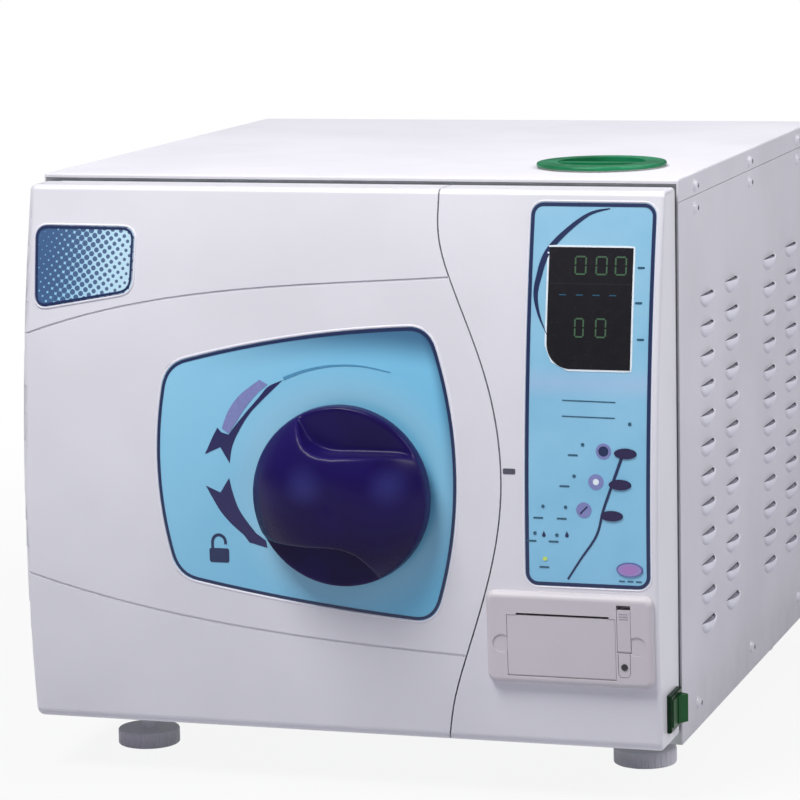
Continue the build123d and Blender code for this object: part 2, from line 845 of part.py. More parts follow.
def overlay_outline(grow):
    x0, x1 = overlay_x0 - grow, overlay_x1 + grow
    z0, z1 = case_z0 + overlay_h0 - grow, case_z0 + overlay_h1 + grow
    return rounded([(x0, z0), (x1, z0), (x1, z1), (x0, z1)], overlay_corner_r + grow)


def window_outline(grow):
    """Display window: square corners but for the long curve at the lower left."""
    x0, x1 = window_x0 - grow, window_x1 + grow
    z0, z1 = case_z0 + window_h0 - grow, case_z0 + window_h1 + grow
    sweep = ThreePointArc((x0, z0 + 16), (x0 + 4.5, z0 + 5.5), (x0 + 16, z0))
    return make_face(sweep + Polyline((x0 + 16, z0), (x1, z0), (x1, z1), (x0, z1), (x0, z0 + 16)))


def key_places():
    """Each key's centre and width and height."""
    places = {name + "_mode_key": (x, case_z0 + h, mode_key_size) for name, (x, h) in mode_keys.items()}
    x, h = start_key_place
    places["start_key"] = (x, case_z0 + h, start_key_size)
    return places


def key_hole(x, z, size):
    face = front_plane(x, z) * Pos(0, 0, -20) * Ellipse(size[0] / 2 + key_gap, size[1] / 2 + key_gap)
    return extrude(face, amount=30)


def key(x, z, size):
    plane = front_plane(x, z)
    oval = plane * Pos(0, 0, -key_deep) * Ellipse(size[0] / 2, size[1] / 2)
    stem = plane * Pos(0, 0, -stem_deep) * Circle(1.6)
    return extrude(oval, amount=key_deep + key_proud) + extrude(stem, amount=stem_deep - key_deep + 1)


printer_plane = front_plane(printer_x, case_z0 + printer_height)


def in_printer(u0, u1, v0, v1, w0, w1):
    """Block in the printer's own frame: across, up and out of the fascia."""
    middle = ((u0 + u1) / 2, (v0 + v1) / 2, (w0 + w1) / 2)
    return printer_plane * Pos(*middle) * Box(u1 - u0, v1 - v0, w1 - w0)


def printer_rod(u, v, w, radius, length):
    bar = Cylinder(radius, length, align=(Align.CENTER, Align.CENTER, Align.MIN))
    return printer_plane * Pos(u, v, w) * Rot(0, 90, 0) * bar


def printer_stud(u, v, w, radius, length):
    bar = Cylinder(radius, length, align=(Align.CENTER, Align.CENTER, Align.MIN))
    return printer_plane * Pos(u, v, w) * bar


printer_door_hinge = (-26.0, 4.45)
printer_lever_hinge = (-5.4, 4.2)
platen_axis = (10.0, -2.2)
roll_axis = (-3.0, -30.0)
roll_r = 20.0
roll_w = 57.0
roll_u0 = -34.5
well_u0 = -45.0
well_u1 = 34.0
well_side = 48.5
well_rise = 31.0
door_u0 = -44.7
door_u1 = 33.7
door_v1 = 17.0
slot_v1 = 18.8
lever_u0 = 35.2
lever_u1 = 44.8


def control_fascia():
    rear = -front_rear_gap
    whole = front_block(0, rear) - slab(door_side(seam_gap / 2), -front_depth - 30, 10)
    inner = front_block(-wall, 5) - slab(door_side(seam_gap / 2 + wall), -front_depth - 30, 10)
    shell = whole - inner
    shell -= rod((chamber_x, ring_y0 - 3, chamber_z), flange_r + 2, 60, "Y")
    shell -= skin(overlay_outline(0.1), -recess_t, 5)
    shell -= slab(window_outline(0.15), -front_depth - 30, -20)
    for x, z, size in key_places().values():
        shell -= key_hole(x, z, size)
    shell -= in_printer(-well_side - 0.2, well_side + 0.2, -well_rise - 0.2, well_rise + 0.2, -20, 20)
    shell -= box(
        half_w - 12, half_w + 5, switch_y - switch_l / 2 + 1.5, switch_y + switch_l / 2 - 1.5,
        switch_z - switch_h / 2 + 1.5, switch_z + switch_h / 2 - 1.5,
    )
    # posts that stand on the bulkhead
    for x, h in fascia_posts:
        z = case_z0 + h
        post = box(x - 4, x + 4, -front_depth, 0, z - 4, z + 4) & drum(-wall / 2)
        shell += post
    return shell


fascia_posts = [(135.0, 380.0), (100.0, 380.0), (200.0, 22.0), (104.0, 22.0)]


def control_overlay():
    sheet_piece = skin(overlay_outline(0), -recess_t, -recess_t + overlay_t)
    sheet_piece -= slab(window_outline(0.15), -front_depth - 30, -20)
    for x, z, size in key_places().values():
        sheet_piece -= key_hole(x, z, size)
    return sheet_piece


def display_window():
    return skin(window_outline(0), -window_t, 0.3)


def board_plane():
    """Plane of the control board: parallel to the chord of the arc behind the overlay."""
    z0, z1 = case_z0 + overlay_h0 + 6, case_z0 + overlay_h1 - 6
    y0, y1 = front_y(z0), front_y(z1)
    tilt = (0, -(z1 - z0), y1 - y0)
    middle = ((overlay_x0 + overlay_x1) / 2, (y0 + y1) / 2 + 14, (z0 + z1) / 2)
    return Plane(origin=middle, x_dir=(1, 0, 0), z_dir=tilt), hypot(z1 - z0, y1 - y0)


def control_board():
    plane, length = board_plane()
    width = overlay_x1 - overlay_x0 - 8
    board = plane * Pos(0, 0, -0.8) * Box(width, length, 1.6)
    front_half = plane * Pos(0, 0, 50) * Box(300, 600, 100)
    shown = slab(window_outline(-2), -front_depth - 30, -10) & drum(-window_t - 1.5) & front_half
    board += shown
    for x, z, _ in key_places().values():
        rise = 50 - stem_deep - key_travel - 0.3
        post = extrude(front_plane(x, z) * Pos(0, 0, -50) * Circle(3), amount=rise)
        board += post & front_half
    return board


def printer_case():
    """Bezel on the fascia with the paper well behind it."""
    half_u, half_v = printer_w / 2, printer_h / 2
    bezel = in_printer(-half_u, half_u, -half_v, half_v, -1.0, printer_proud)
    outwards = Axis(printer_plane.origin, printer_plane.z_dir)
    bezel = fillet(bezel.edges().filter_by(outwards), 6.5)
    front = bezel.faces().sort_by(Axis.Y)[0]
    bezel = fillet(front.edges(), 4.5)
    bezel -= in_printer(-70, 70, -50, 50, -60, 0) & (drum(0) & box(60, half_w + 9, -90, 0, 0, 300))
    bezel += in_printer(-well_side, well_side, -well_rise, well_rise, -printer_depth, 1)
    bezel -= in_printer(well_u0, well_u1, -27.5, 28, -printer_depth + printer_wall, -2.5)
    bezel -= in_printer(well_u0, well_u1, -27.5, door_v1 + 0.3, -10, 10)
    bezel -= in_printer(-38, 29.4, door_v1, slot_v1, -10, 10)
    bezel -= in_printer(lever_u0 - 0.3, lever_u1 + 0.3, -7.2, 27.5, -1, 10)
    v, w = printer_door_hinge
    bezel -= printer_rod(well_u0 - 2, v, w, 0.95, well_u1 - well_u0 + 4)
    v, w = printer_lever_hinge
    bezel -= printer_rod(lever_u0 - 1.7, v, w, 0.95, lever_u1 - lever_u0 + 3.4)
    bezel -= printer_stud(-49, -4, printer_proud - 0.8, 6.7, 5)
    bezel -= printer_stud(49, -2, printer_proud - 0.8, 7, 5)
    bezel -= printer_stud(40, -17.2, 2.5, 2.3, 10)
    # stub axles that the paper roll's core turns on
    v, w = roll_axis
    bezel += printer_rod(well_u0 - 0.5, v, w, 5.4, 8)
    bezel += printer_rod(well_u1 - 7.5, v, w, 5.4, 8)
    lamp = printer_stud(40, -17.2, 2.5, 2.3, 3.8)
    return [bezel, lamp]


def printer_door():
    plate = in_printer(door_u0, door_u1, -26.0, door_v1, 3.2, 5.7)
    v, w = printer_door_hinge
    plate += printer_rod(door_u0, v, w, 1.25, door_u1 - door_u0)
    plate += printer_rod(door_u0 - 1.9, v, w, 0.9, door_u1 - door_u0 + 3.8)
    v, w = platen_axis
    for u in (-40.5, 24.5):
        plate += in_printer(u, u + 3, 5, 14, -6, 3.4)
    plate -= printer_rod(-41, v, w, 1.6 + fit_gap, 69.5)
    return plate


def platen_roller():
    v, w = platen_axis
    return printer_rod(-37, v, w, 5, 61) + printer_rod(-40.5, v, w, 1.6, 68)


def paper_roll():
    v, w = roll_axis
    roll = printer_rod(roll_u0, v, w, roll_r, roll_w)
    return roll - printer_rod(roll_u0 - 1, v, w, 6, roll_w + 2)


def printer_lever():
    v, w = printer_lever_hinge
    lever = in_printer(lever_u0, lever_u1, v, 24, 2.6, 5.8)
    lever += printer_rod(lever_u0, v, w, 1.6, lever_u1 - lever_u0)
    lever += printer_rod(lever_u0 - 1.5, v, w, 0.9, lever_u1 - lever_u0 + 3)
    for step in range(3):
        low = 17 + step * 1.8
        lever -= in_printer(lever_u0 + 1.5, lever_u1 - 1.5, low, low + 0.8, 5.3, 7)
    return lever


rocker_x = front_hw + 0.3


def switch_frame():
    x = front_hw
    frame = box(x, x + switch_bezel_t, switch_y - switch_l / 2, switch_y + switch_l / 2,
                switch_z - switch_h / 2, switch_z + switch_h / 2)
    frame = chamfer(frame.faces().sort_by(Axis.X)[-1].edges(), 0.8)
    half_l, half_h = switch_l / 2 - 1.7, switch_h / 2 - 1.7
    frame += box(x - 26, x + 0.5, switch_y - half_l, switch_y + half_l, switch_z - half_h, switch_z + half_h)
    room = rocker_r + 0.25
    frame -= box(rocker_x - 10.5, x + 10, switch_y - room, switch_y + room,
                 switch_z - rocker_w / 2 - 0.2, switch_z + rocker_w / 2 + 0.2)
    frame -= rod((rocker_x, switch_y, switch_z - rocker_w / 2 - 1), 1.55, rocker_w + 2)
    for y in (-6, 6):
        frame += box(x - 33, x - 25.5, switch_y + y - 0.4, switch_y + y + 0.4, switch_z - 3, switch_z + 3)
    return frame


def switch_rocker():
    """Rocker with two faces at an angle, one end standing proud."""
    body = rod((0, 0, -rocker_w / 2), rocker_r, rocker_w)
    body &= box(-7, 20, -20, 20, -20, 20)
    for side in (-1, 1):
        low, high = sorted((0, side * 40))
        body -= Rot(0, 0, -side * rocker_tilt) * box(4, 30, low, high, -20, 20)
    body += rod((0, 0, -rocker_w / 2 - 0.9), 1.5, rocker_w + 1.8)
    return Pos(rocker_x, switch_y, switch_z) * Rot(0, 0, -rocker_tilt) * body


# Steam, water and electrical side

generator_outlet = (-172.0, 110.0, deck_z + 146)
pump_inlet = (-149.0, 365.0, deck_z + 100)


def steam_generator():
    x, y, top = generator_outlet
    body = rod((x, y, deck_z + 12), 42, 110)
    body += rod((x, y, deck_z + 122), 52, 8)
    body += rod((x, y, deck_z + 130), 46, 4)
    for step in range(6):
        turn = radians(60 * step)
        body += rod((x + 49 * cos(turn), y + 49 * sin(turn), deck_z + 128), 3.5, 7) & box(
            -half_w, half_w, 0, case_d, 0, case_z1)
    for step in range(3):
        turn = radians(120 * step + 30)
        body += rod((x + 34 * cos(turn), y + 34 * sin(turn), deck_z), 5, 14)
    body += rod((x, y, deck_z + 132), port_r, 14)
    return body


def vacuum_pump():
    x, y, z = -165, 235, deck_z + 46
    body = rod((x, y, z), 38, 110, "Y")
    body += box(x - 34, x + 34, y + 108, y + 150, z - 36, z + 30)
    body += rod((x, y + 130, z + 28), 22, 16)
    body += rod((x - 16, y + 130, z + 40), 5, 14)
    body += rod((x + 16, y + 130, z + 40), 5, 14)
    body += box(x - 36, x + 36, y + 10, y + 145, deck_z, deck_z + 4)
    for dy in (25, 85):
        body += box(x - 24, x + 24, y + dy, y + dy + 8, deck_z, z - 30)
    return body


def pump_valve_block():
    """Feed pump and four solenoid valves on one manifold plate."""
    x, y = 180, 190
    body = box(x - 35, x + 35, y, y + 230, deck_z, deck_z + 4)
    body += box(x - 14, x + 14, y + 80, y + 222, deck_z + 3, deck_z + 26)
    for step in range(4):
        place = (x, y + 98 + step * 35, deck_z + 24)
        body += rod(place, 13, 34)
        body += rod(place, 5, 42)
    body += box(x - 18, x + 18, y + 8, y + 66, deck_z + 3, deck_z + 40)
    body += rod((x, y + 37, deck_z + 38), 11, 20)
    body += rod((x, y + 64, deck_z + 16), 5, 18, "Y")
    return body


fan_x = -167.0
fan_z = 260.0
fan_size = 120.0
fan_r = 55.0
fan_t = 25.0
fan_y0 = case_d - sheet - fan_t


def condenser():
    """Finned block with the ends of its copper coil."""
    fins = None
    y0 = fan_y0 - 48
    for row in range(16):
        z = fan_z - 58 + row * 7.6
        fin = box(fan_x - 55, fan_x + 55, y0, y0 + 40, z, z + 1.2)
        fins = fin if fins is None else fins + fin
    for side in (-1, 1):
        fins += box(fan_x + side * 56 - 1.5, fan_x + side * 56 + 1.5, y0 - 2, y0 + 42, fan_z - 60, fan_z + 60)
    for row in range(4):
        z = fan_z - 45 + row * 30
        fins += rod((fan_x - 62, y0 + 20, z), 5, 124, "X")
    for x in (fan_x - 56, fan_x + 56):
        fins += box(x - 1.5, x + 1.5, y0 + 40, fan_y0, fan_z + 50, fan_z + 60)
    return fins


def fan_frame():
    half = fan_size / 2
    frame = box(fan_x - half, fan_x + half, fan_y0, fan_y0 + fan_t, fan_z - half, fan_z + half)
    frame = fillet(frame.edges().filter_by(Axis.Y), 6)
    frame -= rod((fan_x, fan_y0 - 1, fan_z), fan_r + 1.5, fan_t + 2, "Y")
    hub = rod((fan_x, fan_y0, fan_z), 18, 4, "Y")
    for step in range(4):
        arm = box(10, fan_r + 4, -2.5, 2.5, 0, 3)
        hub += Pos(fan_x, fan_y0, fan_z) * Rot(-90, 0, 0) * Rot(0, 0, 45 + 90 * step) * arm
    hub += rod((fan_x, fan_y0 + 2, fan_z), 3, 14, "Y")
    return frame + hub


def fan_impeller():
    y0 = fan_y0 + 5
    hub = rod((fan_x, y0, fan_z), 19, 18, "Y")
    blade = Pos(0, 0, 0) * Rot(38, 0, 0) * box(17, fan_r - 1, -9, 9, -0.9, 0.9)
    for step in range(7):
        hub += Pos(fan_x, y0 + 9, fan_z) * Rot(-90, 0, 0) * Rot(0, 0, step * 360 / 7) * blade
    hub &= rod((fan_x, y0, fan_z), fan_r, 18, "Y")
    return hub - rod((fan_x, y0 - 2, fan_z), 3 + fit_gap, 16, "Y")


def safety_valve():
    y0 = chamber_l + port_reach
    valve = rod((valve_x, y0, valve_z), 10, 26, "Y")
    valve += rod((valve_x, y0 + 26, valve_z), 7, 14, "Y")
    valve += rod((valve_x, y0 + 38, valve_z), 9, case_d + 12 - y0 - 38, "Y")
    valve -= rod((valve_x, case_d - 10, valve_z), 5, 40, "Y")
    return valve


def water_tank():
    y0, y1 = pan_t + 2.5, case_d - screw_l - 2.0
    tank = box(tank_x0, tank_x1, y0, y1, tank_z0, tank_z0 + tank_h)
    tank = fillet(tank.edges().filter_by(Axis.Y), 8)
    hollow = box(tank_x0 + tank_wall, tank_x1 - tank_wall, y0 + tank_wall, y1 - tank_wall,
                 tank_z0 + tank_wall, tank_z0 + tank_h - tank_wall)
    tank -= fillet(hollow.edges().filter_by(Axis.Y), 5)
    # lug that bolts to the bulkhead; the rear end sits on the rear panel's ledge
    tank += box(tank_x0 + 20, tank_x1 - 20, pan_t, y0 + 1, tank_z0 + 8, tank_z0 + 22)
    return tank - rod((cap_x, cap_y, tank_z0 + tank_h - 10), neck_r + neck_wall, 20)


def filler_neck():
    start = tank_z0 + tank_h - tank_wall
    outer = neck_r + neck_wall
    neck = rod((cap_x, cap_y, start), outer, case_z1 - start)
    neck += rod((cap_x, cap_y, case_z1), neck_flange_r, neck_flange_t)
    return neck - rod((cap_x, cap_y, start - 1), neck_r, 40)


cap_z0 = case_z1 + neck_flange_t + 0.2
cap_z1 = cap_z0 + cap_t
cap_skirt_r = neck_r - 0.6
cap_cup_r = 32.0
cap_floor_z = cap_z1 - 13.5
seal_z = cap_z0 - 7


def filler_cap():
    """Lift-out plug with a sunk finger grip and its sealing ring."""
    cap = rod((cap_x, cap_y, cap_z0), cap_r, cap_t)
    cap = fillet(cap.edges().filter_by(GeomType.CIRCLE).sort_by(Axis.Z)[-1:], 1.5)
    cap += rod((cap_x, cap_y, cap_floor_z - 3), cap_skirt_r, cap_z0 - cap_floor_z + 4)
    cap -= rod((cap_x, cap_y, cap_floor_z), cap_cup_r, 30)
    cap += box(cap_x - cap_cup_r - 1, cap_x + cap_cup_r + 1, cap_y - 4, cap_y + 4, cap_floor_z - 0.5, cap_z1 - 0.8)
    ring = Pos(cap_x, cap_y, seal_z) * Torus(neck_r - 1.4, 1.3)
    return [cap - ring, ring]


def steam_pipes():
    """Copper pipes between the generator, chamber, pump and condenser."""
    def pipe(points, radius, bend):
        path = FilletPolyline(*points, radius=bend)
        start = path @ 0
        along = path % 0
        return sweep(Plane(origin=start, z_dir=along) * Circle(radius), path=path)

    y_port = chamber_l + port_reach
    (left_x, left_z), (right_x, right_z) = chamber_ports[1:]
    gen_x, gen_y, gen_top = generator_outlet
    high = gen_top + 155
    back = y_port + 18
    low = pump_inlet[2] + 28
    steam = [
        (gen_x, gen_y, gen_top), (gen_x, gen_y, high), (gen_x, back, high), (left_x, back, high),
        (left_x, back, left_z), (left_x, y_port, left_z),
    ]
    back += 14
    drain = [
        pump_inlet, (pump_inlet[0], pump_inlet[1], low), (pump_inlet[0], back, low),
        (right_x, back, low), (right_x, back, right_z), (right_x, y_port, right_z),
    ]
    return [pipe(steam, pipe_r, 2 * pipe_r), pipe(drain, pipe_r, 2 * pipe_r)]


pipe_r = 4.0
board_y0 = 115.0
board_l = 160.0
board_z0 = 170.0
board_h = 150.0
board_gap = 14.0


def main_board():
    """Power and logic board with its blocks, on four spacers from the right side panel."""
    x0 = inner_w - board_gap
    board = box(x0 - 1.6, x0, board_y0, board_y0 + board_l, board_z0, board_z0 + board_h)
    blocks = [
        (10, 20, 40, 50, 32), (60, 20, 30, 30, 20), (98, 30, 50, 40, 26), (10, 90, 25, 40, 18),
        (45, 84, 60, 14, 12), (112, 90, 40, 40, 8),
    ]
    for y, z, length, height, depth in blocks:
        y, z = board_y0 + y, board_z0 + z
        board += box(x0 - 1 - depth, x0 - 1, y, y + length, z, z + height)
    for y in (7, board_l - 7):
        for z in (7, board_h - 7):
            board += rod((x0 - 0.5, board_y0 + y, board_z0 + z), 3, board_gap + 0.5, "X")
    return board


inlet_x = 190.0
inlet_z = 80.0
inlet_w = 27.0
inlet_h = 20.0
inlet_reach = 4.0


def mains_inlet():
    """Appliance inlet with three pins in its socket."""
    y1 = case_d + inlet_reach
    body = box(inlet_x - inlet_w / 2, inlet_x + inlet_w / 2, case_d - 26, case_d, inlet_z - inlet_h / 2,
               inlet_z + inlet_h / 2)
    plate = box(inlet_x - 25, inlet_x + 25, case_d, y1, inlet_z - 12, inlet_z + 12)
    plate = fillet(plate.edges().filter_by(Axis.Y), 5)
    body += plate
    socket = rounded([(-12, -8), (12, -8), (12, 4), (8, 8), (-8, 8), (-12, 4)], 1)
    body -= slab(Pos(inlet_x, inlet_z) * socket, case_d - 17, y1 + 5)
    for x, z in ((-7, -2), (7, -2), (0, 2)):
        body += box(inlet_x + x - 1, inlet_x + x + 1, case_d - 18, case_d - 3, inlet_z + z - 2, inlet_z + z + 2)
    for x in (-20, 20):
        body -= rod((inlet_x + x, case_d - 1, inlet_z), 1.8, 10, "Y")
    return body


drain_body_r = 8.0
drain_stub_r = 4.0
drain_stub_l = 18.0
drain_places = [(60.0, 72.0), (100.0, 72.0)]


def drain_fittings():
    """Two bulkhead hose stubs, for clean and used water."""
    fittings = []
    for x, z in drain_places:
        stub = rod((x, case_d - 22, z), drain_body_r, 22, "Y")
        stub += rod((x, case_d, z), drain_body_r + 3, 4, "Y")
        stub += rod((x, case_d + 4, z), drain_stub_r, drain_stub_l, "Y")
        stub += rod((x, case_d - 12, z), drain_body_r + 3, 9, "Y")
        stub -= rod((x, case_d - 30, z), 2.5, 60, "Y")
        fittings.append(stub)
    return fittings


def build():
    parts["base_pan"] = base_pan()
    feet = [levelling_foot(x, y) for x, y in foot_places()]
    parts["front_left_foot"], parts["front_right_foot"] = feet[:2]
    parts["rear_feet"] = feet[2:]
    parts["right_side_panel"] = right_side_panel()
    parts["left_side_panel"] = mirror(parts["right_side_panel"], about=Plane.YZ)
    parts["top_cover"] = top_cover()
    parts["rear_panel"] = rear_panel()
    parts["front_bulkhead"] = front_bulkhead()
    parts["case_screws"] = case_screws()
    parts["chamber"] = chamber()
    parts["insulation_jacket"] = insulation_jacket()
    parts["locking_ring"] = locking_ring()
    parts["tray_rack"] = tray_rack()
    for level, name in enumerate(("bottom_tray", "middle_tray", "top_tray")):
        parts[name] = tray(level)
    parts["door_cover"] = door_cover()
    parts["door_panel"] = door_panel()
    parts["door_badge"] = door_badge()
    parts["door_plate"] = door_plate()
    parts["door_gasket"] = door_gasket()
    parts["door_arm"] = door_arm()
    parts["door_liner"] = door_liner()
    parts["hinge_brackets"] = hinge_brackets()
    parts["knob"] = knob()
    parts["lock_spindle"] = lock_spindle()
    for name, angle in (("right", 0), ("upper", 90), ("left", 180), ("lower", 270)):
        parts[name + "_lock_bolt"] = lock_bolt(angle)
    parts["control_fascia"] = control_fascia()
    parts["control_overlay"] = control_overlay()
    parts["display_window"] = display_window()
    parts["control_board"] = control_board()
    for name, (x, z, size) in key_places().items():
        parts[name] = key(x, z, size)
    parts["printer_case"] = printer_case()
    parts["printer_door"] = printer_door()
    parts["platen_roller"] = platen_roller()
    parts["paper_roll"] = paper_roll()
    parts["printer_lever"] = printer_lever()
    parts["switch_frame"] = switch_frame()
    parts["switch_rocker"] = switch_rocker()
    parts["steam_generator"] = steam_generator()
    parts["vacuum_pump"] = vacuum_pump()
    parts["pump_valve_block"] = pump_valve_block()
    parts["condenser"] = condenser()
    parts["fan_frame"] = fan_frame()
    parts["fan_impeller"] = fan_impeller()
    parts["safety_valve"] = safety_valve()
    parts["water_tank"] = water_tank()
    parts["filler_neck"] = filler_neck()
    parts["filler_cap"] = filler_cap()
    parts["steam_pipes"] = steam_pipes()
    parts["main_board"] = main_board()
    parts["mains_inlet"] = mains_inlet()
    parts["drain_fittings"] = drain_fittings()


def solids_of(piece):
    """Every solid of a piece, whether it is one shape or a list of them."""
    group = piece if isinstance(piece, list) else [piece]
    return [solid for shape in group for solid in shape.solids()]


build()
everything = Compound(children=[Compound(solids_of(piece)) for piece in parts.values()])
reach = everything.bounding_box()
shift = Pos(-(reach.min.X + reach.max.X) / 2, -(reach.min.Y + reach.max.Y) / 2, 0)

os.makedirs("parts", exist_ok=True)
for name, piece in parts.items():
    solids = [shift * solid for solid in solids_of(piece)]
    export_step(solids[0] if len(solids) == 1 else Compound(solids), "parts/" + name + ".step")
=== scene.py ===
import bpy
import bmesh
import json
from math import atan2, cos, hypot, pi, radians, sin, sqrt
from mathutils import Matrix, Vector


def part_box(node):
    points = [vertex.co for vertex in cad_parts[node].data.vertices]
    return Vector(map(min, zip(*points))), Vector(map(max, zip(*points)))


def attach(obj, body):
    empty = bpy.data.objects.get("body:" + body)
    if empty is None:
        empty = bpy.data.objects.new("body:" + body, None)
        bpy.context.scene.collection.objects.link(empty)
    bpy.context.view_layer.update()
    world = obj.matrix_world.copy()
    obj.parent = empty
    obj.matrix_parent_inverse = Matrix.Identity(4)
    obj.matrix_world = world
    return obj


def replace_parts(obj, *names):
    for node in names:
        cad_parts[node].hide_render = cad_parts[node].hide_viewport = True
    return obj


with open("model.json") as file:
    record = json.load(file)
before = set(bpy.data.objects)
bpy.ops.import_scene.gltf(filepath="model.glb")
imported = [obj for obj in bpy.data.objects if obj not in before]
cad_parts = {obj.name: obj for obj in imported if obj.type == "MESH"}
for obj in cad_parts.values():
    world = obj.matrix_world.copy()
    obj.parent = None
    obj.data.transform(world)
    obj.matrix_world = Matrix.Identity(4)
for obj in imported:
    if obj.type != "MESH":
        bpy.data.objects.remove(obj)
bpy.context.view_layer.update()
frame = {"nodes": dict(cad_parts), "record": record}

# Sizes are in millimetres on the case's own axes: X from its middle, Y from its front plane
# towards the rear, Z up from the bench. place() turns them into the frame's metres.
MM = 0.001
bulkhead_low, bulkhead_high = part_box("front_bulkhead")
case_middle_x = (bulkhead_low.x + bulkhead_high.x) / 2
case_front_y = bulkhead_low.y

front_depth = 65.0
front_arc_r = 1000.0
crown_z = 182.0
arc_y = front_arc_r - front_depth
knob_x = 12.0
knob_z = 219.5
case_half_w = 240.0
case_rear_y = 490.0

# Added to X before a pattern repeats, so that no place on the case is below zero
above_zero = 400.0

# Heights above the curved front at which thin prints lie
panel_face = -0.2
overlay_face = -0.1
window_face = 0.3
badge_face = 0.8
sign_lift = 0.15

# Half the thickness of each kind of print
print_t = 0.25
digit_t = 0.12
catch_t = 0.2
lamp_t = 0.35
ready_lamp_t = 0.4


def place(x, y, z):
    """Point on the case's own axes, in the frame's metres."""
    return Vector((case_middle_x + x * MM, case_front_y + y * MM, z * MM))


def on_front(x, z, proud):
    """Point of the curved front at (x, z), lifted off it by proud."""
    y = arc_y - sqrt(front_arc_r ** 2 - (z - crown_z) ** 2)
    out_y = (y - arc_y) / front_arc_r
    out_z = (z - crown_z) / front_arc_r
    return place(x, y + out_y * proud, z + out_z * proud)


# Colours and finishes


def hue(code):
    """Linear colour of a hex code."""
    parts = [int(code[i:i + 2], 16) / 255 for i in (1, 3, 5)]
    linear = [c / 12.92 if c <= 0.04045 else ((c + 0.055) / 1.055) ** 2.4 for c in parts]
    return (*linear, 1.0)


class Wire:
    """A value in a paint's tree; Python's signs on it make Math nodes."""

    def __init__(self, paint, socket):
        self.paint = paint
        self.socket = socket

    def maths(self, operation, *values):
        return self.paint.node("ShaderNodeMath", {"operation": operation}, *values)

    def __add__(self, other):
        return self.maths("ADD", self, other)

    __radd__ = __add__

    def __mul__(self, other):
        return self.maths("MULTIPLY", self, other)

    __rmul__ = __mul__

    def __sub__(self, other):
        return self.maths("SUBTRACT", self, other)

    def __rsub__(self, other):
        return self.maths("SUBTRACT", other, self)

    def __truediv__(self, other):
        return self.maths("DIVIDE", self, other)

    def __pow__(self, other):
        return self.maths("POWER", self, other)

    def __gt__(self, other):
        return self.maths("GREATER_THAN", self, other)

    def __lt__(self, other):
        return self.maths("LESS_THAN", self, other)

    def __abs__(self):
        return self.maths("ABSOLUTE", self)

    def wrapped(self, step):
        return self.maths("MODULO", self, step)

    def rise(self, start, end):
        """0 below start, 1 above end, smooth between."""
        settings = {"interpolation_type": "SMOOTHSTEP"}
        return self.paint.node("ShaderNodeMapRange", settings, self, start, end, 0.0, 1.0)


class Paint:
    """A finish with its nodes, read from the surface's own place on the object."""

    def __init__(self, name, colour, roughness, metallic=0.0, **fixed):
        self.material = bpy.data.materials.new(name)
        self.material.use_nodes = True
        self.tree = self.material.node_tree
        self.shader = self.tree.nodes["Principled BSDF"]
        self.base = colour
        coordinates = self.tree.nodes.new("ShaderNodeTexCoord")
        self.spot = Wire(self, coordinates.outputs["Object"])
        self.set("Base Color", colour)
        self.set("Roughness", roughness)
        self.set("Metallic", metallic)
        for key, value in fixed.items():
            self.set(key.replace("_", " "), value)

    def feed(self, socket, value):
        if isinstance(value, Wire):
            self.tree.links.new(value.socket, socket)
        else:
            socket.default_value = value

    def set(self, name, value):
        self.feed(self.shader.inputs[name], value)

    def node(self, kind, settings=None, *values, output=0, named=None):
        """A new node's output; values fill its sockets in order, named ones by name or number."""
        made = self.tree.nodes.new(kind)
        for key, value in (settings or {}).items():
            setattr(made, key, value)
        for index, value in enumerate(values):
            self.feed(made.inputs[index], value)
        for key, value in (named or {}).items():
            self.feed(made.inputs[key], value)
        return Wire(self, made.outputs[output])

    def axes(self):
        """Place on the surface in millimetres of the case's own axes."""
        shift = (case_middle_x, case_front_y, 0.0)
        moved = self.node("ShaderNodeVectorMath", {"operation": "SUBTRACT"}, self.spot, shift)
        parts = self.tree.nodes.new("ShaderNodeSeparateXYZ")
        self.tree.links.new(moved.socket, parts.inputs[0])
        return [Wire(self, socket) * 1000.0 for socket in parts.outputs]

    def noise(self, grain, detail=2.0, stretch=(1.0, 1.0, 1.0)):
        """Noise whose grain is in millimetres."""
        placed = {"Vector": self.spot, "Scale": stretch}
        mapped = self.node("ShaderNodeMapping", named=placed)
        named = {"Vector": mapped, "Scale": 1000.0 / grain, "Detail": detail}
        return self.node("ShaderNodeTexNoise", named=named)

    def mix(self, share, first, second):
        """First colour where share is 0, second where it is 1."""
        settings = {"data_type": "RGBA"}
        return self.node("ShaderNodeMix", settings, output=2, named={0: share, 6: first, 7: second})

    def length(self, across, up):
        """Distance from two parts that lie square to each other."""
        return self.node("ShaderNodeMath", {"operation": "SQRT"}, across ** 2.0 + up ** 2.0)

    def bump(self, height, distance):
        """Relief of height times distance, in millimetres."""
        named = {"Height": height, "Distance": distance * MM, "Strength": 1.0}
        self.set("Normal", self.node("ShaderNodeBump", named=named))

    def shade(self, amount):
        """The base colour, darker by amount."""
        return tuple(c * (1 - amount) for c in self.base[:3]) + (1.0,)


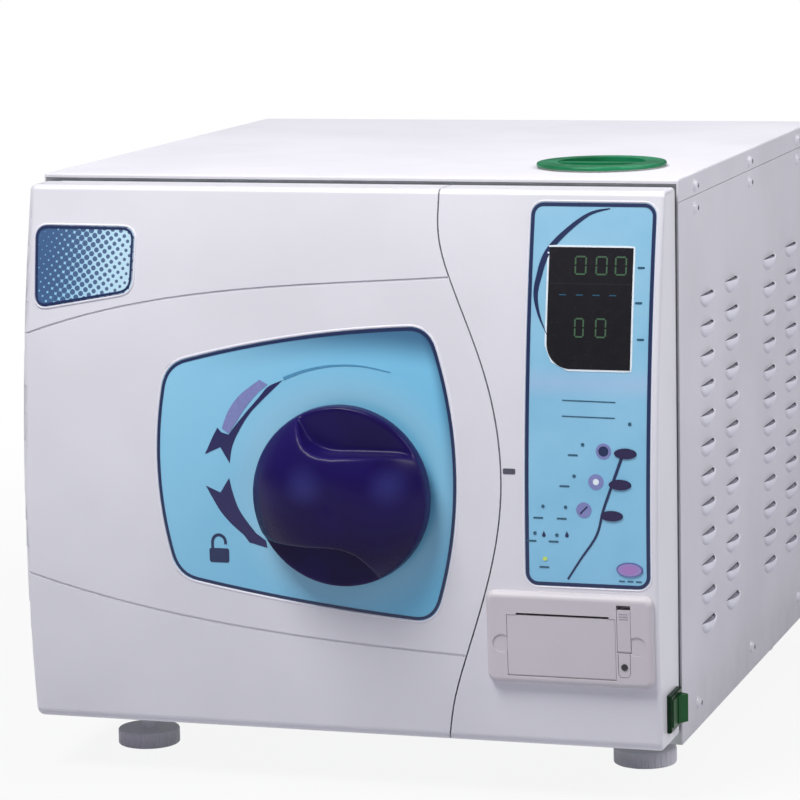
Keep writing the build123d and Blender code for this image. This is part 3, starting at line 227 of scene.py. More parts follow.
def powder_coat(name, code, grain=1.1, depth=0.02, tone=0.06, rough=0.5):
    """Stoved powder paint: orange peel, faint clouding and grime low down.

    The pressed louvres are painted paler than their panel, for the light that the photo shows there.
    """
    paint = Paint(name, hue(code), rough, Specular_IOR_Level=0.15)
    cloud = paint.noise(120.0, 3.0)
    peel = paint.noise(grain, 2.0)
    x, _, z = paint.axes()
    grime = (1 - z.rise(20.0, 90.0)) * paint.noise(18.0, 4.0) * 0.35
    tint = paint.mix(cloud.rise(0.35, 0.7), paint.base, paint.shade(tone))
    tint = paint.mix(grime, tint, hue("#8b877f"))
    # Painted highlight: the pressed louvres are painted paler for the light that falls on them.
    pressed = abs(x).rise(case_half_w + 0.2, case_half_w + 2.5)
    tint = paint.mix(pressed * 0.85, tint, hue("#faf8ff"))
    paint.set("Base Color", tint)
    paint.set("Roughness", rough + peel * 0.1 + cloud * 0.08)
    paint.bump(peel, depth)
    return paint.material


def moulding(name, code, rough=0.3, grain=0.7, depth=0.006, tone=0.05):
    """Moulded plastic with a fine spark finish, slow shade and handling marks."""
    paint = Paint(name, hue(code), rough)
    cloud = paint.noise(90.0, 2.0)
    spark = paint.noise(grain, 1.0)
    smear = paint.noise(35.0, 5.0, (1.0, 1.0, 0.3))
    paint.set("Base Color", paint.mix(cloud.rise(0.3, 0.75), paint.base, paint.shade(tone)))
    paint.set("Roughness", rough + smear * 0.16 + spark * 0.05 - 0.08)
    paint.bump(spark, depth)
    return paint.material


def brushed(name, code, along="Y", rough=0.28, depth=0.004, tone=0.12):
    """Rolled or brushed steel whose lines run along one axis."""
    paint = Paint(name, hue(code), rough, metallic=1.0)
    stretch = {"X": (0.02, 1.0, 1.0), "Y": (1.0, 0.02, 1.0), "Z": (1.0, 1.0, 0.02)}[along]
    lines = paint.noise(0.5, 3.0, stretch)
    cloud = paint.noise(45.0, 4.0)
    paint.set("Base Color", paint.mix(lines * 0.7 + cloud * 0.3, paint.base, paint.shade(tone)))
    paint.set("Roughness", rough + lines * 0.16 + cloud * 0.12 - 0.06)
    paint.bump(lines, depth)
    return paint.material


def cast(name, code, rough=0.5, grain=1.6, depth=0.06):
    """Cast or galvanised metal with a spangled face."""
    paint = Paint(name, hue(code), rough, metallic=1.0)
    skin = paint.noise(grain, 4.0)
    cloud = paint.noise(22.0, 3.0)
    paint.set("Base Color", paint.mix(cloud.rise(0.3, 0.7), paint.base, paint.shade(0.2)))
    paint.set("Roughness", rough + skin * 0.2 - 0.05)
    paint.bump(skin, depth)
    return paint.material


def rubber(name, code, rough=0.62):
    """Rubber or foam: fine grain under a patchy bloom."""
    paint = Paint(name, hue(code), rough)
    grain = paint.noise(0.8, 3.0)
    bloom = paint.noise(14.0, 4.0)
    paint.set("Base Color", paint.mix(bloom.rise(0.35, 0.8), paint.base, paint.shade(0.18)))
    paint.set("Roughness", rough + bloom * 0.14)
    paint.bump(grain, 0.02)
    return paint.material


def ink(name, code, rough=0.32, glow=0.0):
    """Screen-printed ink: a faint mesh texture and uneven cover."""
    paint = Paint(name, hue(code), rough)
    cover = paint.noise(2.4, 3.0)
    paint.set("Base Color", paint.mix(cover.rise(0.3, 0.8), paint.base, paint.shade(0.12)))
    paint.set("Roughness", rough + cover * 0.12)
    paint.bump(paint.noise(0.35, 1.0), 0.003)
    if glow:
        paint.set("Emission Color", paint.mix(cover.rise(0.2, 0.9), paint.base, paint.shade(0.35)))
        paint.set("Emission Strength", glow)
    return paint.material


def blue_panel_print():
    """The door's blue inset: deeper to the right, inked along two sides, a painted pale ring of light at
    the knob.
    """
    paint = Paint("blue_panel_print", hue("#86c0de"), 0.24, Specular_IOR_Level=0.3)
    x, _, z = paint.axes()
    edge_ink = hue("#1d3a66")
    along_top = x + 35.0
    up_side = z - 232.0
    below_top = 328.0 - along_top * along_top * 0.0014 + along_top * 0.155 - z
    inside_side = 93.2 - up_side * up_side * 0.0017 - up_side * 0.003 - x
    cloud = paint.noise(60.0, 3.0)
    depth = x.rise(-140.0, 100.0) * 0.6 + z.rise(330.0, 120.0) * 0.2 + cloud * 0.3
    tint = paint.mix(depth, hue("#96cee8"), hue("#6fbee2"))
    top_shade = (1 - below_top.rise(-3.0, 22.0)) * x.rise(-120.0, 20.0) * 0.75
    side_shade = (1 - inside_side.rise(-2.0, 12.0)) * z.rise(120.0, 300.0) * 0.8
    tint = paint.mix(top_shade, tint, edge_ink)
    tint = paint.mix(side_shade, tint, edge_ink)
    # Painted light: a pale ring round the knob, lightest just outside its edge.
    radius = paint.length(x - knob_x, z - knob_z)
    halo_start, halo_peak, halo_end = 62.0, 70.0, 96.0
    knob_light_ring = radius.rise(halo_start, halo_peak) * (1 - radius.rise(halo_peak, halo_end))
    tint = paint.mix(knob_light_ring * 0.22, tint, hue("#bfe2ee"))
    paint.set("Base Color", tint)
    paint.set("Roughness", 0.2 + cloud * 0.1)
    paint.bump(paint.noise(1.4, 2.0), 0.004)
    return paint.material


def overlay_print():
    """Control overlay: blue film with one lilac band and a fine embossed texture."""
    paint = Paint("overlay_print", hue("#8cc3e0"), 0.34)
    _, _, z = paint.axes()
    band_z = 302.0
    cloud = paint.noise(40.0, 3.0)
    tint = paint.mix(z.rise(150.0, 430.0), hue("#8cc8e6"), hue("#94c6de"))
    tint = paint.mix(cloud.rise(0.3, 0.8) * 0.4, tint, hue("#6fb0d2"))
    band = (1 - abs(z - band_z).rise(0.0, 14.0)) * 0.3
    paint.set("Base Color", paint.mix(band, tint, hue("#b9bfe0")))
    paint.set("Roughness", 0.34 + cloud * 0.1)
    paint.bump(paint.noise(0.6, 1.0), 0.004)
    return paint.material


def badge_print():
    """Plain decoration for the badge: halftone dots that shrink across a pale blue field."""
    paint = Paint("badge_print", hue("#9ed2ec"), 0.22, Coat_Weight=0.4)
    x, _, z = paint.axes()
    badge_left, badge_right, badge_top = -232.0, -152.0, 405.0
    pitch = 4.6
    turn_cos, turn_sin = 0.8, 0.6
    turned_x = (x + above_zero) * turn_cos + z * turn_sin
    turned_z = z * turn_cos - (x + above_zero) * turn_sin + 600.0
    cell_x = turned_x.wrapped(pitch) - pitch / 2
    cell_z = turned_z.wrapped(pitch) - pitch / 2
    dot_r = 3.3 - (x - badge_left) * 0.026 + (z - badge_top) * 0.008
    dots = (dot_r - paint.length(cell_x, cell_z)).rise(-0.25, 0.25)
    field = paint.mix(x.rise(badge_left, badge_right), hue("#8cc9e8"), hue("#c3e4f2"))
    paint.set("Base Color", paint.mix(dots * 0.85, field, hue("#23386f")))
    paint.set("Roughness", 0.22 + paint.noise(9.0) * 0.1)
    paint.bump(dots, 0.01)
    return paint.material


def knob_plastic():
    """Deep indigo gloss with a slow flow pattern, fine scratches and two paler patches.

    The patches are painted for the two lights that the photo shows on the knob.
    """
    paint = Paint("knob_plastic", hue("#150d3c"), 0.26, Specular_IOR_Level=0.14)
    flow = paint.noise(70.0, 3.0)
    scratch = paint.noise(1.6, 3.0)
    x, _, z = paint.axes()
    # Painted light: the knob's upper part is painted a lighter blue for the light from above.
    painted_light = z.rise(150.0, 290.0)
    highlight_height = 13.0
    tint = paint.mix(flow.rise(0.3, 0.7), hue("#190b40"), hue("#1f1258"))
    tint = paint.mix(painted_light * 0.35, tint, hue("#1b1650"))
    # Painted highlights: two paler spots for lights reflected on the knob.
    for highlight_x, highlight_r in ((-17.0, 20.0), (43.0, 18.0)):
        away = paint.length(x - knob_x - highlight_x, z - knob_z - highlight_height)
        tint = paint.mix((1 - away.rise(0.0, highlight_r)) * 0.7, tint, hue("#343474"))
    paint.set("Base Color", tint)
    paint.set("Roughness", 0.22 + flow * 0.1 + scratch * 0.05)
    paint.bump(scratch, 0.003)
    return paint.material


def display_pane():
    """Smoked pane with dust and a faint line between two display modules."""
    paint = Paint("display_pane", hue("#222124"), 0.2, Specular_IOR_Level=0.3)
    _, _, z = paint.axes()
    module_line_z = 370.5
    dust = paint.noise(6.0, 5.0)
    module_line = (1 - abs(z - module_line_z).rise(0.0, 0.9)) * 0.25
    tint = paint.mix(z.rise(310.0, 396.0) * 0.3 + dust * 0.2, hue("#1b1a1d"), hue("#2c2a2f"))
    paint.set("Base Color", paint.mix(module_line, tint, hue("#3d3b41")))
    paint.set("Roughness", 0.2 + dust * 0.12)
    paint.bump(paint.noise(3.0, 2.0), 0.002)
    return paint.material


def start_key_print():
    """Lavender key top with a darker rim and a pink centre, which is a painted sheen."""
    paint = Paint("start_key_print", hue("#a184bf"), 0.4)
    x, _, z = paint.axes()
    key_x, key_z, key_half_w, key_half_h = 218.6, 172.5, 9.4, 4.9
    away = ((x - key_x) / key_half_w) ** 2.0 + ((z - key_z) / key_half_h) ** 2.0
    # Painted sheen: the pink centre of the key top stands for light on it.
    tint = paint.mix(away.rise(0.2, 0.7), hue("#a67fbf"), hue("#9a8cc4"))
    tint = paint.mix(away.rise(0.74, 0.86), tint, hue("#6a66a4"))
    paint.set("Base Color", tint)
    paint.set("Roughness", 0.38 + paint.noise(3.0) * 0.1)
    paint.bump(paint.noise(0.5), 0.01)
    return paint.material


def circuit_board(name):
    """Green laminate with paler copper tracks in patches."""
    paint = Paint(name, hue("#14552c"), 0.4)
    _, y, z = paint.axes()
    track_pitch, track_w = 5.0, 0.7
    cross_pitch, cross_w = 7.0, 0.6
    tracks = ((y.wrapped(track_pitch) - track_w) < 0.0) * 0.6
    crossing = ((z.wrapped(cross_pitch) - cross_w) < 0.0) * 0.6
    patchy = paint.noise(16.0, 2.0) > 0.5
    tint = paint.mix((tracks + crossing) * patchy, paint.base, hue("#2c8a4c"))
    paint.set("Base Color", tint)
    paint.set("Roughness", 0.36 + paint.noise(4.0) * 0.12)
    paint.bump(tracks + crossing, 0.03)
    return paint.material


def louvre_shade_weave():
    """Fine woven mesh that lies flat, grey wires with darker gaps, grey as painted shade in the louvres'
    mouths.
    """
    paint = Paint("louvre_shade_weave", hue("#9896a2"), 0.5)
    x, y, _ = paint.axes()
    wire_pitch, wire_w = 1.2, 0.5
    gaps = ((x + above_zero).wrapped(wire_pitch) > wire_w) * (y.wrapped(wire_pitch) > wire_w)
    paint.set("Base Color", paint.mix(gaps * 0.6, hue("#a5a3af"), hue("#5f5d69")))
    paint.set("Roughness", 0.4 + paint.noise(12.0) * 0.2)
    paint.bump(gaps, 0.05)
    return paint.material


def wound_paper():
    """White paper whose wound layers show as fine lines."""
    paint = Paint("wound_paper", hue("#efeeea"), 0.8)
    layers = paint.noise(0.4, 2.0, (0.05, 1.0, 1.0))
    paint.set("Base Color", paint.mix(layers, paint.base, paint.shade(0.12)))
    paint.set("Roughness", 0.75 + layers * 0.15)
    paint.bump(layers, 0.02)
    return paint.material


def rocker_plastic(name, code, painted_light):
    """Deep green switch plastic with a painted highlight, paler the further it stands out of the case.
    """
    paint = Paint(name, hue(code), 0.3, Specular_IOR_Level=0.15)
    x, _, _ = paint.axes()
    flow = paint.noise(5.0, 3.0)
    # Painted highlight: the parts that stand out are mixed towards a paler green glint.
    proud = (x - case_half_w).rise(0.0, 6.0)
    paint.set("Base Color", paint.mix(proud * 0.6 + flow * 0.2, paint.base, hue(painted_light)))
    paint.set("Roughness", 0.28 + flow * 0.12)
    paint.bump(flow, 0.02)
    return paint.material


def cap_plastic():
    """Green moulding, rubbed paler in patches on its highest face."""
    paint = Paint("cap_plastic", hue("#1b7d43"), 0.34, Specular_IOR_Level=0.3)
    flow = paint.noise(30.0, 3.0)
    grain = paint.noise(0.9, 2.0)
    _, _, z = paint.axes()
    worn = z.rise(441.5, 443.2) * paint.noise(7.0, 4.0).rise(0.45, 0.75)
    tint = paint.mix(flow.rise(0.3, 0.7), hue("#13683f"), hue("#208558"))
    paint.set("Base Color", paint.mix(worn * 0.4, tint, hue("#4aa56c")))
    paint.set("Roughness", 0.3 + flow * 0.14)
    paint.bump(grain, 0.012)
    return paint.material


finishes = {
    "case_paint": powder_coat("case_powder_coat", "#e3e1e6"),
    "zinc_sheet": cast("zinc_sheet", "#a9adb0", 0.42, grain=5.0, depth=0.01),
    "screw_zinc": moulding("white_screw_enamel", "#e9e8ee", 0.25),
    "foot_rubber": moulding("pale_foot_plastic", "#f3f1f8", 0.45, 0.9, 0.02),
    "chamber_steel": brushed("chamber_steel", "#c4c6c8", "Y"),
    "rack_steel": brushed("rack_steel", "#cfd1d2", "Y", 0.22),
    "jacket_foam": rubber("jacket_foam", "#d9cf9f", 0.9),
    "seal_silicone": rubber("seal_silicone", "#e3e0d8", 0.5),
    "moulded_shell": moulding("shell_moulding", "#e1e0e5", 0.3),
    "blue_panel": blue_panel_print(),
    "badge_film": badge_print(),
    "arm_steel": brushed("arm_steel", "#a2a5a8", "X", 0.34),
    "knob_plastic": knob_plastic(),
    "overlay_film": overlay_print(),
    "display_glass": display_pane(),
    "circuit_board": circuit_board("board_laminate"),
    "key_rubber": ink("navy_key_top", "#231848", 0.4),
    "start_key_rubber": start_key_print(),
    "printer_plastic": moulding("printer_moulding", "#cdc7cb", 0.5, 0.8, 0.02, 0.06),
    "lever_plastic": moulding("lever_moulding", "#cac4c9", 0.45, 0.8, 0.02, 0.06),
    "platen_rubber": rubber("platen_rubber", "#1b1b1d"),
    "paper": wound_paper(),
    "switch_black": rocker_plastic("switch_bezel_plastic", "#062a10", "#0c3a18"),
    "switch_green": rocker_plastic("switch_lens", "#053a14", "#0f5a26"),
    "generator_metal": brushed("generator_steel", "#b4b6b8", "Z", 0.3),
    "pump_metal": cast("pump_casting", "#8b9094"),
    "valve_metal": cast("valve_metal", "#a79c7d", 0.4),
    "condenser_metal": brushed("condenser_fins", "#c9cccd", "X", 0.3),
    "fan_plastic": moulding("fan_moulding", "#1e1e20", 0.5),
    "valve_brass": cast("valve_brass", "#b9924a", 0.3, grain=3.0, depth=0.01),
    "tank_plastic": moulding("tank_moulding", "#e6e5e0", 0.5, 2.0, 0.02),
    "cap_plastic": cap_plastic(),
    "inlet_plastic": moulding("inlet_moulding", "#19191b", 0.45),
}
navy = ink("navy_ink", "#1b2a55")
violet = ink("violet_ink", "#232158", 0.3)
lavender = ink("lavender_ink", "#8288bd", 0.35)
trace_blue = ink("trace_blue", "#5294bb", 0.3)
pale_rim = moulding("rim_moulding", "#e6e5ee", 0.24)
shadow_ink = ink("slot_shadow", "#54525f", 0.6)
digit_green = ink("digit_green", "#3c5c41", 0.4, 0.12)
lamp_green = ink("lamp_lime", "#b7cf63", 0.25, 0.2)
lamp_dark = ink("lamp_dark", "#2c5a72", 0.25)
white_ink = ink("white_ink", "#e9f3f8", 0.35)
# Grey of the painted shade in the screws' cross recesses
recess_shade_grey = ink("screw_recess", "#6f6d78", 0.5)

slot_of = {
    part["node"]: part.get("material_slot", part["node"])
    for part in frame["record"]["subparts"]
}
for name, node in frame["nodes"].items():
    node.data.materials.clear()
    node.data.materials.append(finishes[slot_of[name]])


# Mesh tools


def as_piece(name, mesh, paint, body, smooth=False):
    """Object of a finished mesh, riding on a body."""
    piece = bpy.data.objects.new(name, mesh)
    bpy.context.scene.collection.objects.link(piece)
    mesh.materials.clear()
    mesh.materials.append(paint)
    for face in mesh.polygons:
        face.use_smooth = smooth
    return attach(piece, body)


def from_bmesh(name, form, paint, body, smooth=False):
    """Piece of a form that is being built, with its faces turned outwards."""
    bmesh.ops.recalc_face_normals(form, faces=form.faces)
    mesh = bpy.data.meshes.new(name)
    form.to_mesh(mesh)
    form.free()
    return as_piece(name, mesh, paint, body, smooth)


def in_order(parts, spot_of):
    """Sorts a form's points or faces by where they lie, so that every run gives the same mesh."""
    ranks = {part: rank for rank, part in enumerate(sorted(parts, key=spot_of))}
    parts.sort(key=ranks.get)


def printed(name, outlines, face_level, paint, body, thick=print_t):
    """Thin print on the curved front, cut to (x, z) outlines, thick to either side of its level."""
    form = bmesh.new()
    for outline in outlines:
        form.faces.new([form.verts.new((x, 0.0, z)) for x, z in outline])
    heights = [v.co.z for v in form.verts]
    slice_h = 5.0
    z = min(heights) + slice_h
    while z < max(heights):
        geometry = form.verts[:] + form.edges[:] + form.faces[:]
        bmesh.ops.bisect_plane(form, geom=geometry, plane_co=(0, 0, z), plane_no=(0, 0, 1))
        z += slice_h
    bmesh.ops.triangulate(form, faces=form.faces[:])
    lower = list(form.verts)
    flat = [(v.co.x, v.co.z) for v in lower]
    made = bmesh.ops.extrude_face_region(form, geom=form.faces[:], use_keep_orig=True)
    upper = [item for item in made["geom"] if isinstance(item, bmesh.types.BMVert)]
    for vert in upper:
        vert.co = on_front(vert.co.x, vert.co.z, face_level + thick)
    for vert, (x, z) in zip(lower, flat):
        vert.co = on_front(x, z, face_level - thick)
    in_order(form.verts, lambda vert: vert.co[:])
    in_order(form.faces, lambda face: face.calc_center_median()[:])
    return from_bmesh(name, form, paint, body)


def loop_normals(points):
    """Outward direction at each point of a closed outline."""
    count = len(points)
    area = sum(
        points[i][0] * points[(i + 1) % count][1] - points[(i + 1) % count][0] * points[i][1]
        for i in range(count)
    )
    sign = 1.0 if area > 0 else -1.0
    normals = []
    for i in range(count):
        (x0, z0), (x1, z1) = points[i - 1], points[(i + 1) % count]
        length = hypot(x1 - x0, z1 - z0) or 1.0
        normals.append((sign * (z1 - z0) / length, -sign * (x1 - x0) / length))
    return normals


def moulded_loop(name, points, profile, paint, body):
    """Moulding round a closed outline: profile is (outward, height) round its section."""
    form = bmesh.new()
    rings = []
    for (x, z), (out_x, out_z) in zip(points, loop_normals(points)):
        rings.append([
            form.verts.new(on_front(x + out_x * out, z + out_z * out, height))
            for out, height in profile
        ])
    sides = len(profile)
    for i, here in enumerate(rings):
        there = rings[(i + 1) % len(rings)]
        for j in range(sides):
            k = (j + 1) % sides
            form.faces.new([here[j], here[k], there[k], there[j]])
    return from_bmesh(name, form, paint, body, smooth=sides > 4)


def flat_profile(inner, outer, level):
    """Section of a flat printed line between two distances."""
    low, high = level - print_t, level + print_t
    return [(inner, low), (outer, low), (outer, high), (inner, high)]


def bead_profile(inner, outer, level, height, steps=6):
    """Half-round section between two distances."""
    middle, half = (inner + outer) / 2, (outer - inner) / 2
    crown = [
        (middle + half * cos(pi * step / steps), level + height * sin(pi * step / steps))
        for step in range(steps + 1)
    ]
    sunk = level - 0.4
    return crown + [(inner, sunk), (outer, sunk)]


def arc_through(start, middle, end, steps=40):
    """Points of the circle through three points, from start up to but not at end."""
    (ax, ay), (bx, by), (cx, cy) = start, middle, end
    a_square, b_square, c_square = ax ** 2 + ay ** 2, bx ** 2 + by ** 2, cx ** 2 + cy ** 2
    d = 2 * (ax * (by - cy) + bx * (cy - ay) + cx * (ay - by))
    ux = (a_square * (by - cy) + b_square * (cy - ay) + c_square * (ay - by)) / d
    uy = (a_square * (cx - bx) + b_square * (ax - cx) + c_square * (bx - ax)) / d
    radius = hypot(ax - ux, ay - uy)
    first = atan2(ay - uy, ax - ux)
    turn = atan2(cy - uy, cx - ux) - first
    turn = (turn + pi) % (2 * pi) - pi
    return [
        (ux + radius * cos(first + turn * i / steps), uy + radius * sin(first + turn * i / steps))
        for i in range(steps)
    ]


def soften_corners(points, corners, reach, steps=8):
    """Replaces the outline near each corner with a smooth bend."""
    made = []
    for point in points:
        near = [c for c in corners if hypot(point[0] - c[0], point[1] - c[1]) < reach]
        if not near:
            made.append((point, None))
        elif not made or made[-1][1] != near[0]:
            made.append((None, near[0]))
    if made[0][1] is not None and made[-1][1] == made[0][1]:
        made.pop()
    smooth = []
    count = len(made)
    for i, (point, corner) in enumerate(made):
        if corner is None:
            smooth.append(point)
            continue
        before, after = made[i - 1][0], made[(i + 1) % count][0]
        for step in range(1, steps):
            t = step / steps
            smooth.append(tuple(
                (1 - t) ** 2 * before[a] + 2 * t * (1 - t) * corner[a] + t ** 2 * after[a]
                for a in (0, 1)
            ))
    return smooth


def bend(before, start, end, after, t):
    """One coordinate of the smooth line from start to end at share t of the way."""
    square = 2 * before - 5 * start + 4 * end - after
    cube = 3 * start - before - 3 * end + after
    return 0.5 * (2 * start + (end - before) * t + square * t * t + cube * t ** 3)


def through(points, steps=8):
    """Smooth open line through points."""
    line = []
    count = len(points)
    for i in range(count - 1):
        p0 = points[max(i - 1, 0)]
        p1, p2 = points[i], points[i + 1]
        p3 = points[min(i + 2, count - 1)]
        for step in range(steps):
            t = step / steps
            line.append(tuple(bend(p0[a], p1[a], p2[a], p3[a], t) for a in (0, 1)))
    return line + [points[-1]]


def stroke(points, width):
    """Outline of a line of a width, which may change along it."""
    count = len(points)
    left, right = [], []
    for i, (x, z) in enumerate(points):
        x0, z0 = points[max(i - 1, 0)]
        x1, z1 = points[min(i + 1, count - 1)]
        length = hypot(x1 - x0, z1 - z0) or 1.0
        half = (width(i / (count - 1)) if callable(width) else width) / 2
        left.append((x - (z1 - z0) / length * half, z + (x1 - x0) / length * half))
        right.append((x + (z1 - z0) / length * half, z - (x1 - x0) / length * half))
    return left + right[::-1]


def oval(x, z, half_w, half_h=None, steps=28):
    """Outline of an ellipse, or of a circle where half_h is left out."""
    half_h = half_h or half_w
    turns = [2 * pi * i / steps for i in range(steps)]
    return [(x + half_w * cos(turn), z + half_h * sin(turn)) for turn in turns]


def rounded_box(x0, x1, z0, z1, radius, steps=6):
    """Outline of a box with round corners."""
    left, right, bottom, top = x0 + radius, x1 - radius, z0 + radius, z1 - radius
    points = []
    for x, z, start in ((right, top, 0), (left, top, 1), (left, bottom, 2), (right, bottom, 3)):
        for step in range(steps + 1):
            turn = pi / 2 * (start + step / steps)
            points.append((x + radius * cos(turn), z + radius * sin(turn)))
    return points


def denser(points, most=6.0):
    """The closed outline with long sides divided."""
    made = []
    for i, (x0, z0) in enumerate(points):
        x1, z1 = points[(i + 1) % len(points)]
        parts = max(1, round(hypot(x1 - x0, z1 - z0) / most))
        made += [(x0 + (x1 - x0) * j / parts, z0 + (z1 - z0) * j / parts) for j in range(parts)]
    return made


# Door: blue inset's ink line and raised rim, the turning arrows and the padlock sign

panel_corners = [(-126, 307.5), (-118, 153.8), (75, 128), (71, 338.5)]
panel_bows = [(-132.2, 232), (-25.3, 138.2), (93.2, 232), (-35, 328)]
panel_loop = []
for i in range(4):
    panel_loop += arc_through(panel_corners[i], panel_bows[i], panel_corners[(i + 1) % 4])
panel_loop = soften_corners(panel_loop, panel_corners, 13.0)
moulded_loop("panel_ink_line", panel_loop, flat_profile(-2.3, -0.2, panel_face), navy, "door")
moulded_loop("panel_rim", panel_loop, bead_profile(0.35, 2.0, 0.0, 0.4), pale_rim, "door")

open_arrow = (
    through([(-95.0, 220.8), (-90.0, 212.0), (-83.8, 202.2), (-75.8, 193.5), (-66.7, 186.0)], 4)
    + [(-62.5, 180.6), (-49.0, 177.2), (-50.0, 182.4)]
    + through([(-57.3, 187.4), (-65.2, 197.2), (-70.8, 206.0), (-75.1, 218.2), (-77.2, 227.1)], 4)
    + [(-84.0, 216.2)]
)
close_arrow = (
    [(-95.5, 243.8), (-90.5, 254.6), (-86.1, 263.1), (-83.0, 259.8), (-77.5, 258.3)]
    + through([(-75.0, 261.7), (-66.6, 272.0), (-54.5, 285.7), (-47.4, 293.6), (-36.8, 298.3)], 4)
    + through([
        (-42.8, 292.6), (-52.3, 283.5), (-61.9, 273.3), (-69.8, 260.8), (-74.8, 249.5), (-76.7, 237.7),
    ], 4)
    + [(-83.8, 249.2)]
)
printed("turning_arrows", [open_arrow, close_arrow], panel_face, violet, "door")
fading = (
    through([(-82.6, 262.6), (-78.2, 274.4), (-70.8, 285.2), (-61.3, 293.2), (-54.2, 298.2)], 4)
    + through([(-48.0, 295.0), (-55.6, 288.6), (-65.0, 277.6), (-72.4, 266.3), (-77.6, 259.2)], 4)
)
printed("arrow_fade", [fading], panel_face, lavender, "door")
trace = through([(-36, 299.5), (-20, 305.5), (0, 309.5), (22, 309.8), (44, 306)], 8)
printed("arrow_trace", [stroke(trace, lambda t: 1.9 * (1 - t) + 0.5)], panel_face, trace_blue, "door")

lock_x, lock_z = -86.0, 171.0
half_turn = [pi * i / 12 for i in range(13)]
shackle = [(lock_x - 5 + 5 * (1 - cos(turn)), lock_z + 9 + 5.2 * sin(turn)) for turn in half_turn]
shackle = [(lock_x - 5, lock_z + 4)] + shackle + [(lock_x + 5, lock_z + 7.6)]
lock_body = rounded_box(lock_x - 7.5, lock_x + 7.5, lock_z - 6, lock_z + 4.4, 1.6)
printed("open_padlock_sign", [lock_body, stroke(shackle, 2.1)], panel_face, navy, "door")

badge_corners = [(-230.5, 404.7), (-228.5, 345.5), (-154, 358.5), (-153.5, 404.3)]
badge_loop = soften_corners(denser(badge_corners, 2.0), badge_corners, 9.0)
moulded_loop("badge_ink_line", badge_loop, flat_profile(-1.9, -0.2, badge_face), navy, "door")
moulded_loop("badge_rim", badge_loop, bead_profile(0.3, 2.0, 0.0, 0.9), pale_rim, "door")

# Control overlay: ink line, rim and marks

overlay_loop = denser(rounded_box(143.3, 233.4, 158.7, 425.9, 9.0))
moulded_loop("overlay_ink_line", overlay_loop, flat_profile(-2.7, -0.2, overlay_face), navy, "case")
moulded_loop("overlay_rim", overlay_loop, bead_profile(0.3, 1.6, 0.0, 0.35), pale_rim, "case")

crescent = through([
    (200, 422), (185, 418), (168, 405), (156, 391), (151, 375.5), (149, 362), (152, 348), (158, 335),
], 6)
stem = through([(213, 251), (207, 234), (200, 214), (195, 196), (183, 178), (174, 164)], 6)
swoosh = [
    stroke(crescent, lambda t: 0.6 + 3.6 * sin(pi * min(1.0, t * 1.05))),
    stroke(stem, lambda t: 2.2 - 0.9 * t),
]
printed("overlay_curves", swoosh, overlay_face, navy, "case")
window_corners = [(158, 328), (162.5, 317.2), (174, 311.7), (218, 311.7), (218, 395.2), (158, 395.2)]
window_loop = denser(window_corners, 4.0)
moulded_loop("window_line", window_loop, flat_profile(0.2, 1.5, overlay_face), white_ink, "case")

lamp_spots = [
    (185, 259.5), (179, 237.3), (156.5, 215.3), (172.8, 215.2), (150.5, 196), (166.4, 195.2),
    (218.6, 274.8),
]
lamps = [oval(x, z, 1.25, steps=14) for x, z in lamp_spots]
printed("overlay_lamps", lamps, overlay_face, lamp_dark, "case", lamp_t)
printed("ready_lamp", [oval(157.6, 178, 1.7, 1.4, 16)], overlay_face, lamp_green, "case", ready_lamp_t)


def drop(x, z, size):
    """Water drop sign: a point over most of a circle."""
    turns = [radians(degrees) for degrees in range(150, 391, 20)]
    round_part = [
        (x + size * 0.55 * cos(turn), z - size * 0.3 + size * 0.55 * sin(turn)) for turn in turns
    ]
    return [(x, z + size)] + round_part


def dash(x, z, half_w, half_h, radius):
    """Short bar about its middle, with rounded corners."""
    return rounded_box(x - half_w, x + half_w, z - half_h, z + half_h, radius, 2)


printed("drop_signs", [drop(157, 195.5, 2.4), drop(173.7, 195.8, 2.4)], overlay_face, navy, "case")
sign_spots = [(200, 255.3), (194.7, 233.7), (186, 213.6)]
printed("sign_discs", [oval(x, z, 5.5) for x, z in sign_spots], overlay_face, lavender, "case")
ring_sign, eye_sign, bar_sign = sign_spots
bar_reach = 2.6
bar_line = [(bar_sign[0] + side * bar_reach, bar_sign[1] + side * bar_reach) for side in (-1, 1)]
sign_marks = [oval(*ring_sign, 3.6), stroke(bar_line, 1.1)]
printed("sign_marks", sign_marks, overlay_face + sign_lift, navy, "case")
printed("sign_centre", [oval(*eye_sign, 2.2)], overlay_face + sign_lift, white_ink, "case")
captions = [(178, 252), (172, 230), (153, 207), (170, 207), (148, 190.5), (164, 190.5), (157, 172)]
window_captions = [(224, 382), (223, 358), (225, 333)]
start_captions = [(213, 164.2), (219, 164.2), (225, 164.2)]
dashes = [dash(x, z, 3.6, 0.6, 0.5) for x, z in captions]
dashes += [dash(x, z, 2.6, 0.7, 0.6) for x, z in window_captions]
dashes += [dash(x, z, 2.2, 0.5, 0.4) for x, z in start_captions]
printed("caption_dashes", dashes, overlay_face, lamp_dark, "case")
guide = [stroke([(170, z), (208, z - 0.5)], 0.7) for z in (290.0, 279.0)]
printed("guide_lines", guide, overlay_face, lamp_dark, "case")

# Display digits: a zero's six segments, as shares of the digit's width and height

segment_lines = {
    "a": ((0, 1), (1, 1)), "b": ((1, 1), (1, 0.5)), "c": ((1, 0.5), (1, 0)),
    "d": ((0, 0), (1, 0)), "e": ((0, 0.5), (0, 0)), "f": ((0, 1), (0, 0.5)),
}


def zero(x0, x1, z0, z1, width=1.1, gap=0.5):
    """Bars of a zero, a little apart at their ends."""
    bars = []
    for (u0, v0), (u1, v1) in segment_lines.values():
        ax, az = x0 + (x1 - x0) * u0, z0 + (z1 - z0) * v0
        bx, bz = x0 + (x1 - x0) * u1, z0 + (z1 - z0) * v1
        length = hypot(bx - ax, bz - az)
        dx, dz = (bx - ax) / length * gap, (bz - az) / length * gap
        bars.append(stroke([(ax + dx, az + dz), (bx - dx, bz - dz)], width))
    return bars


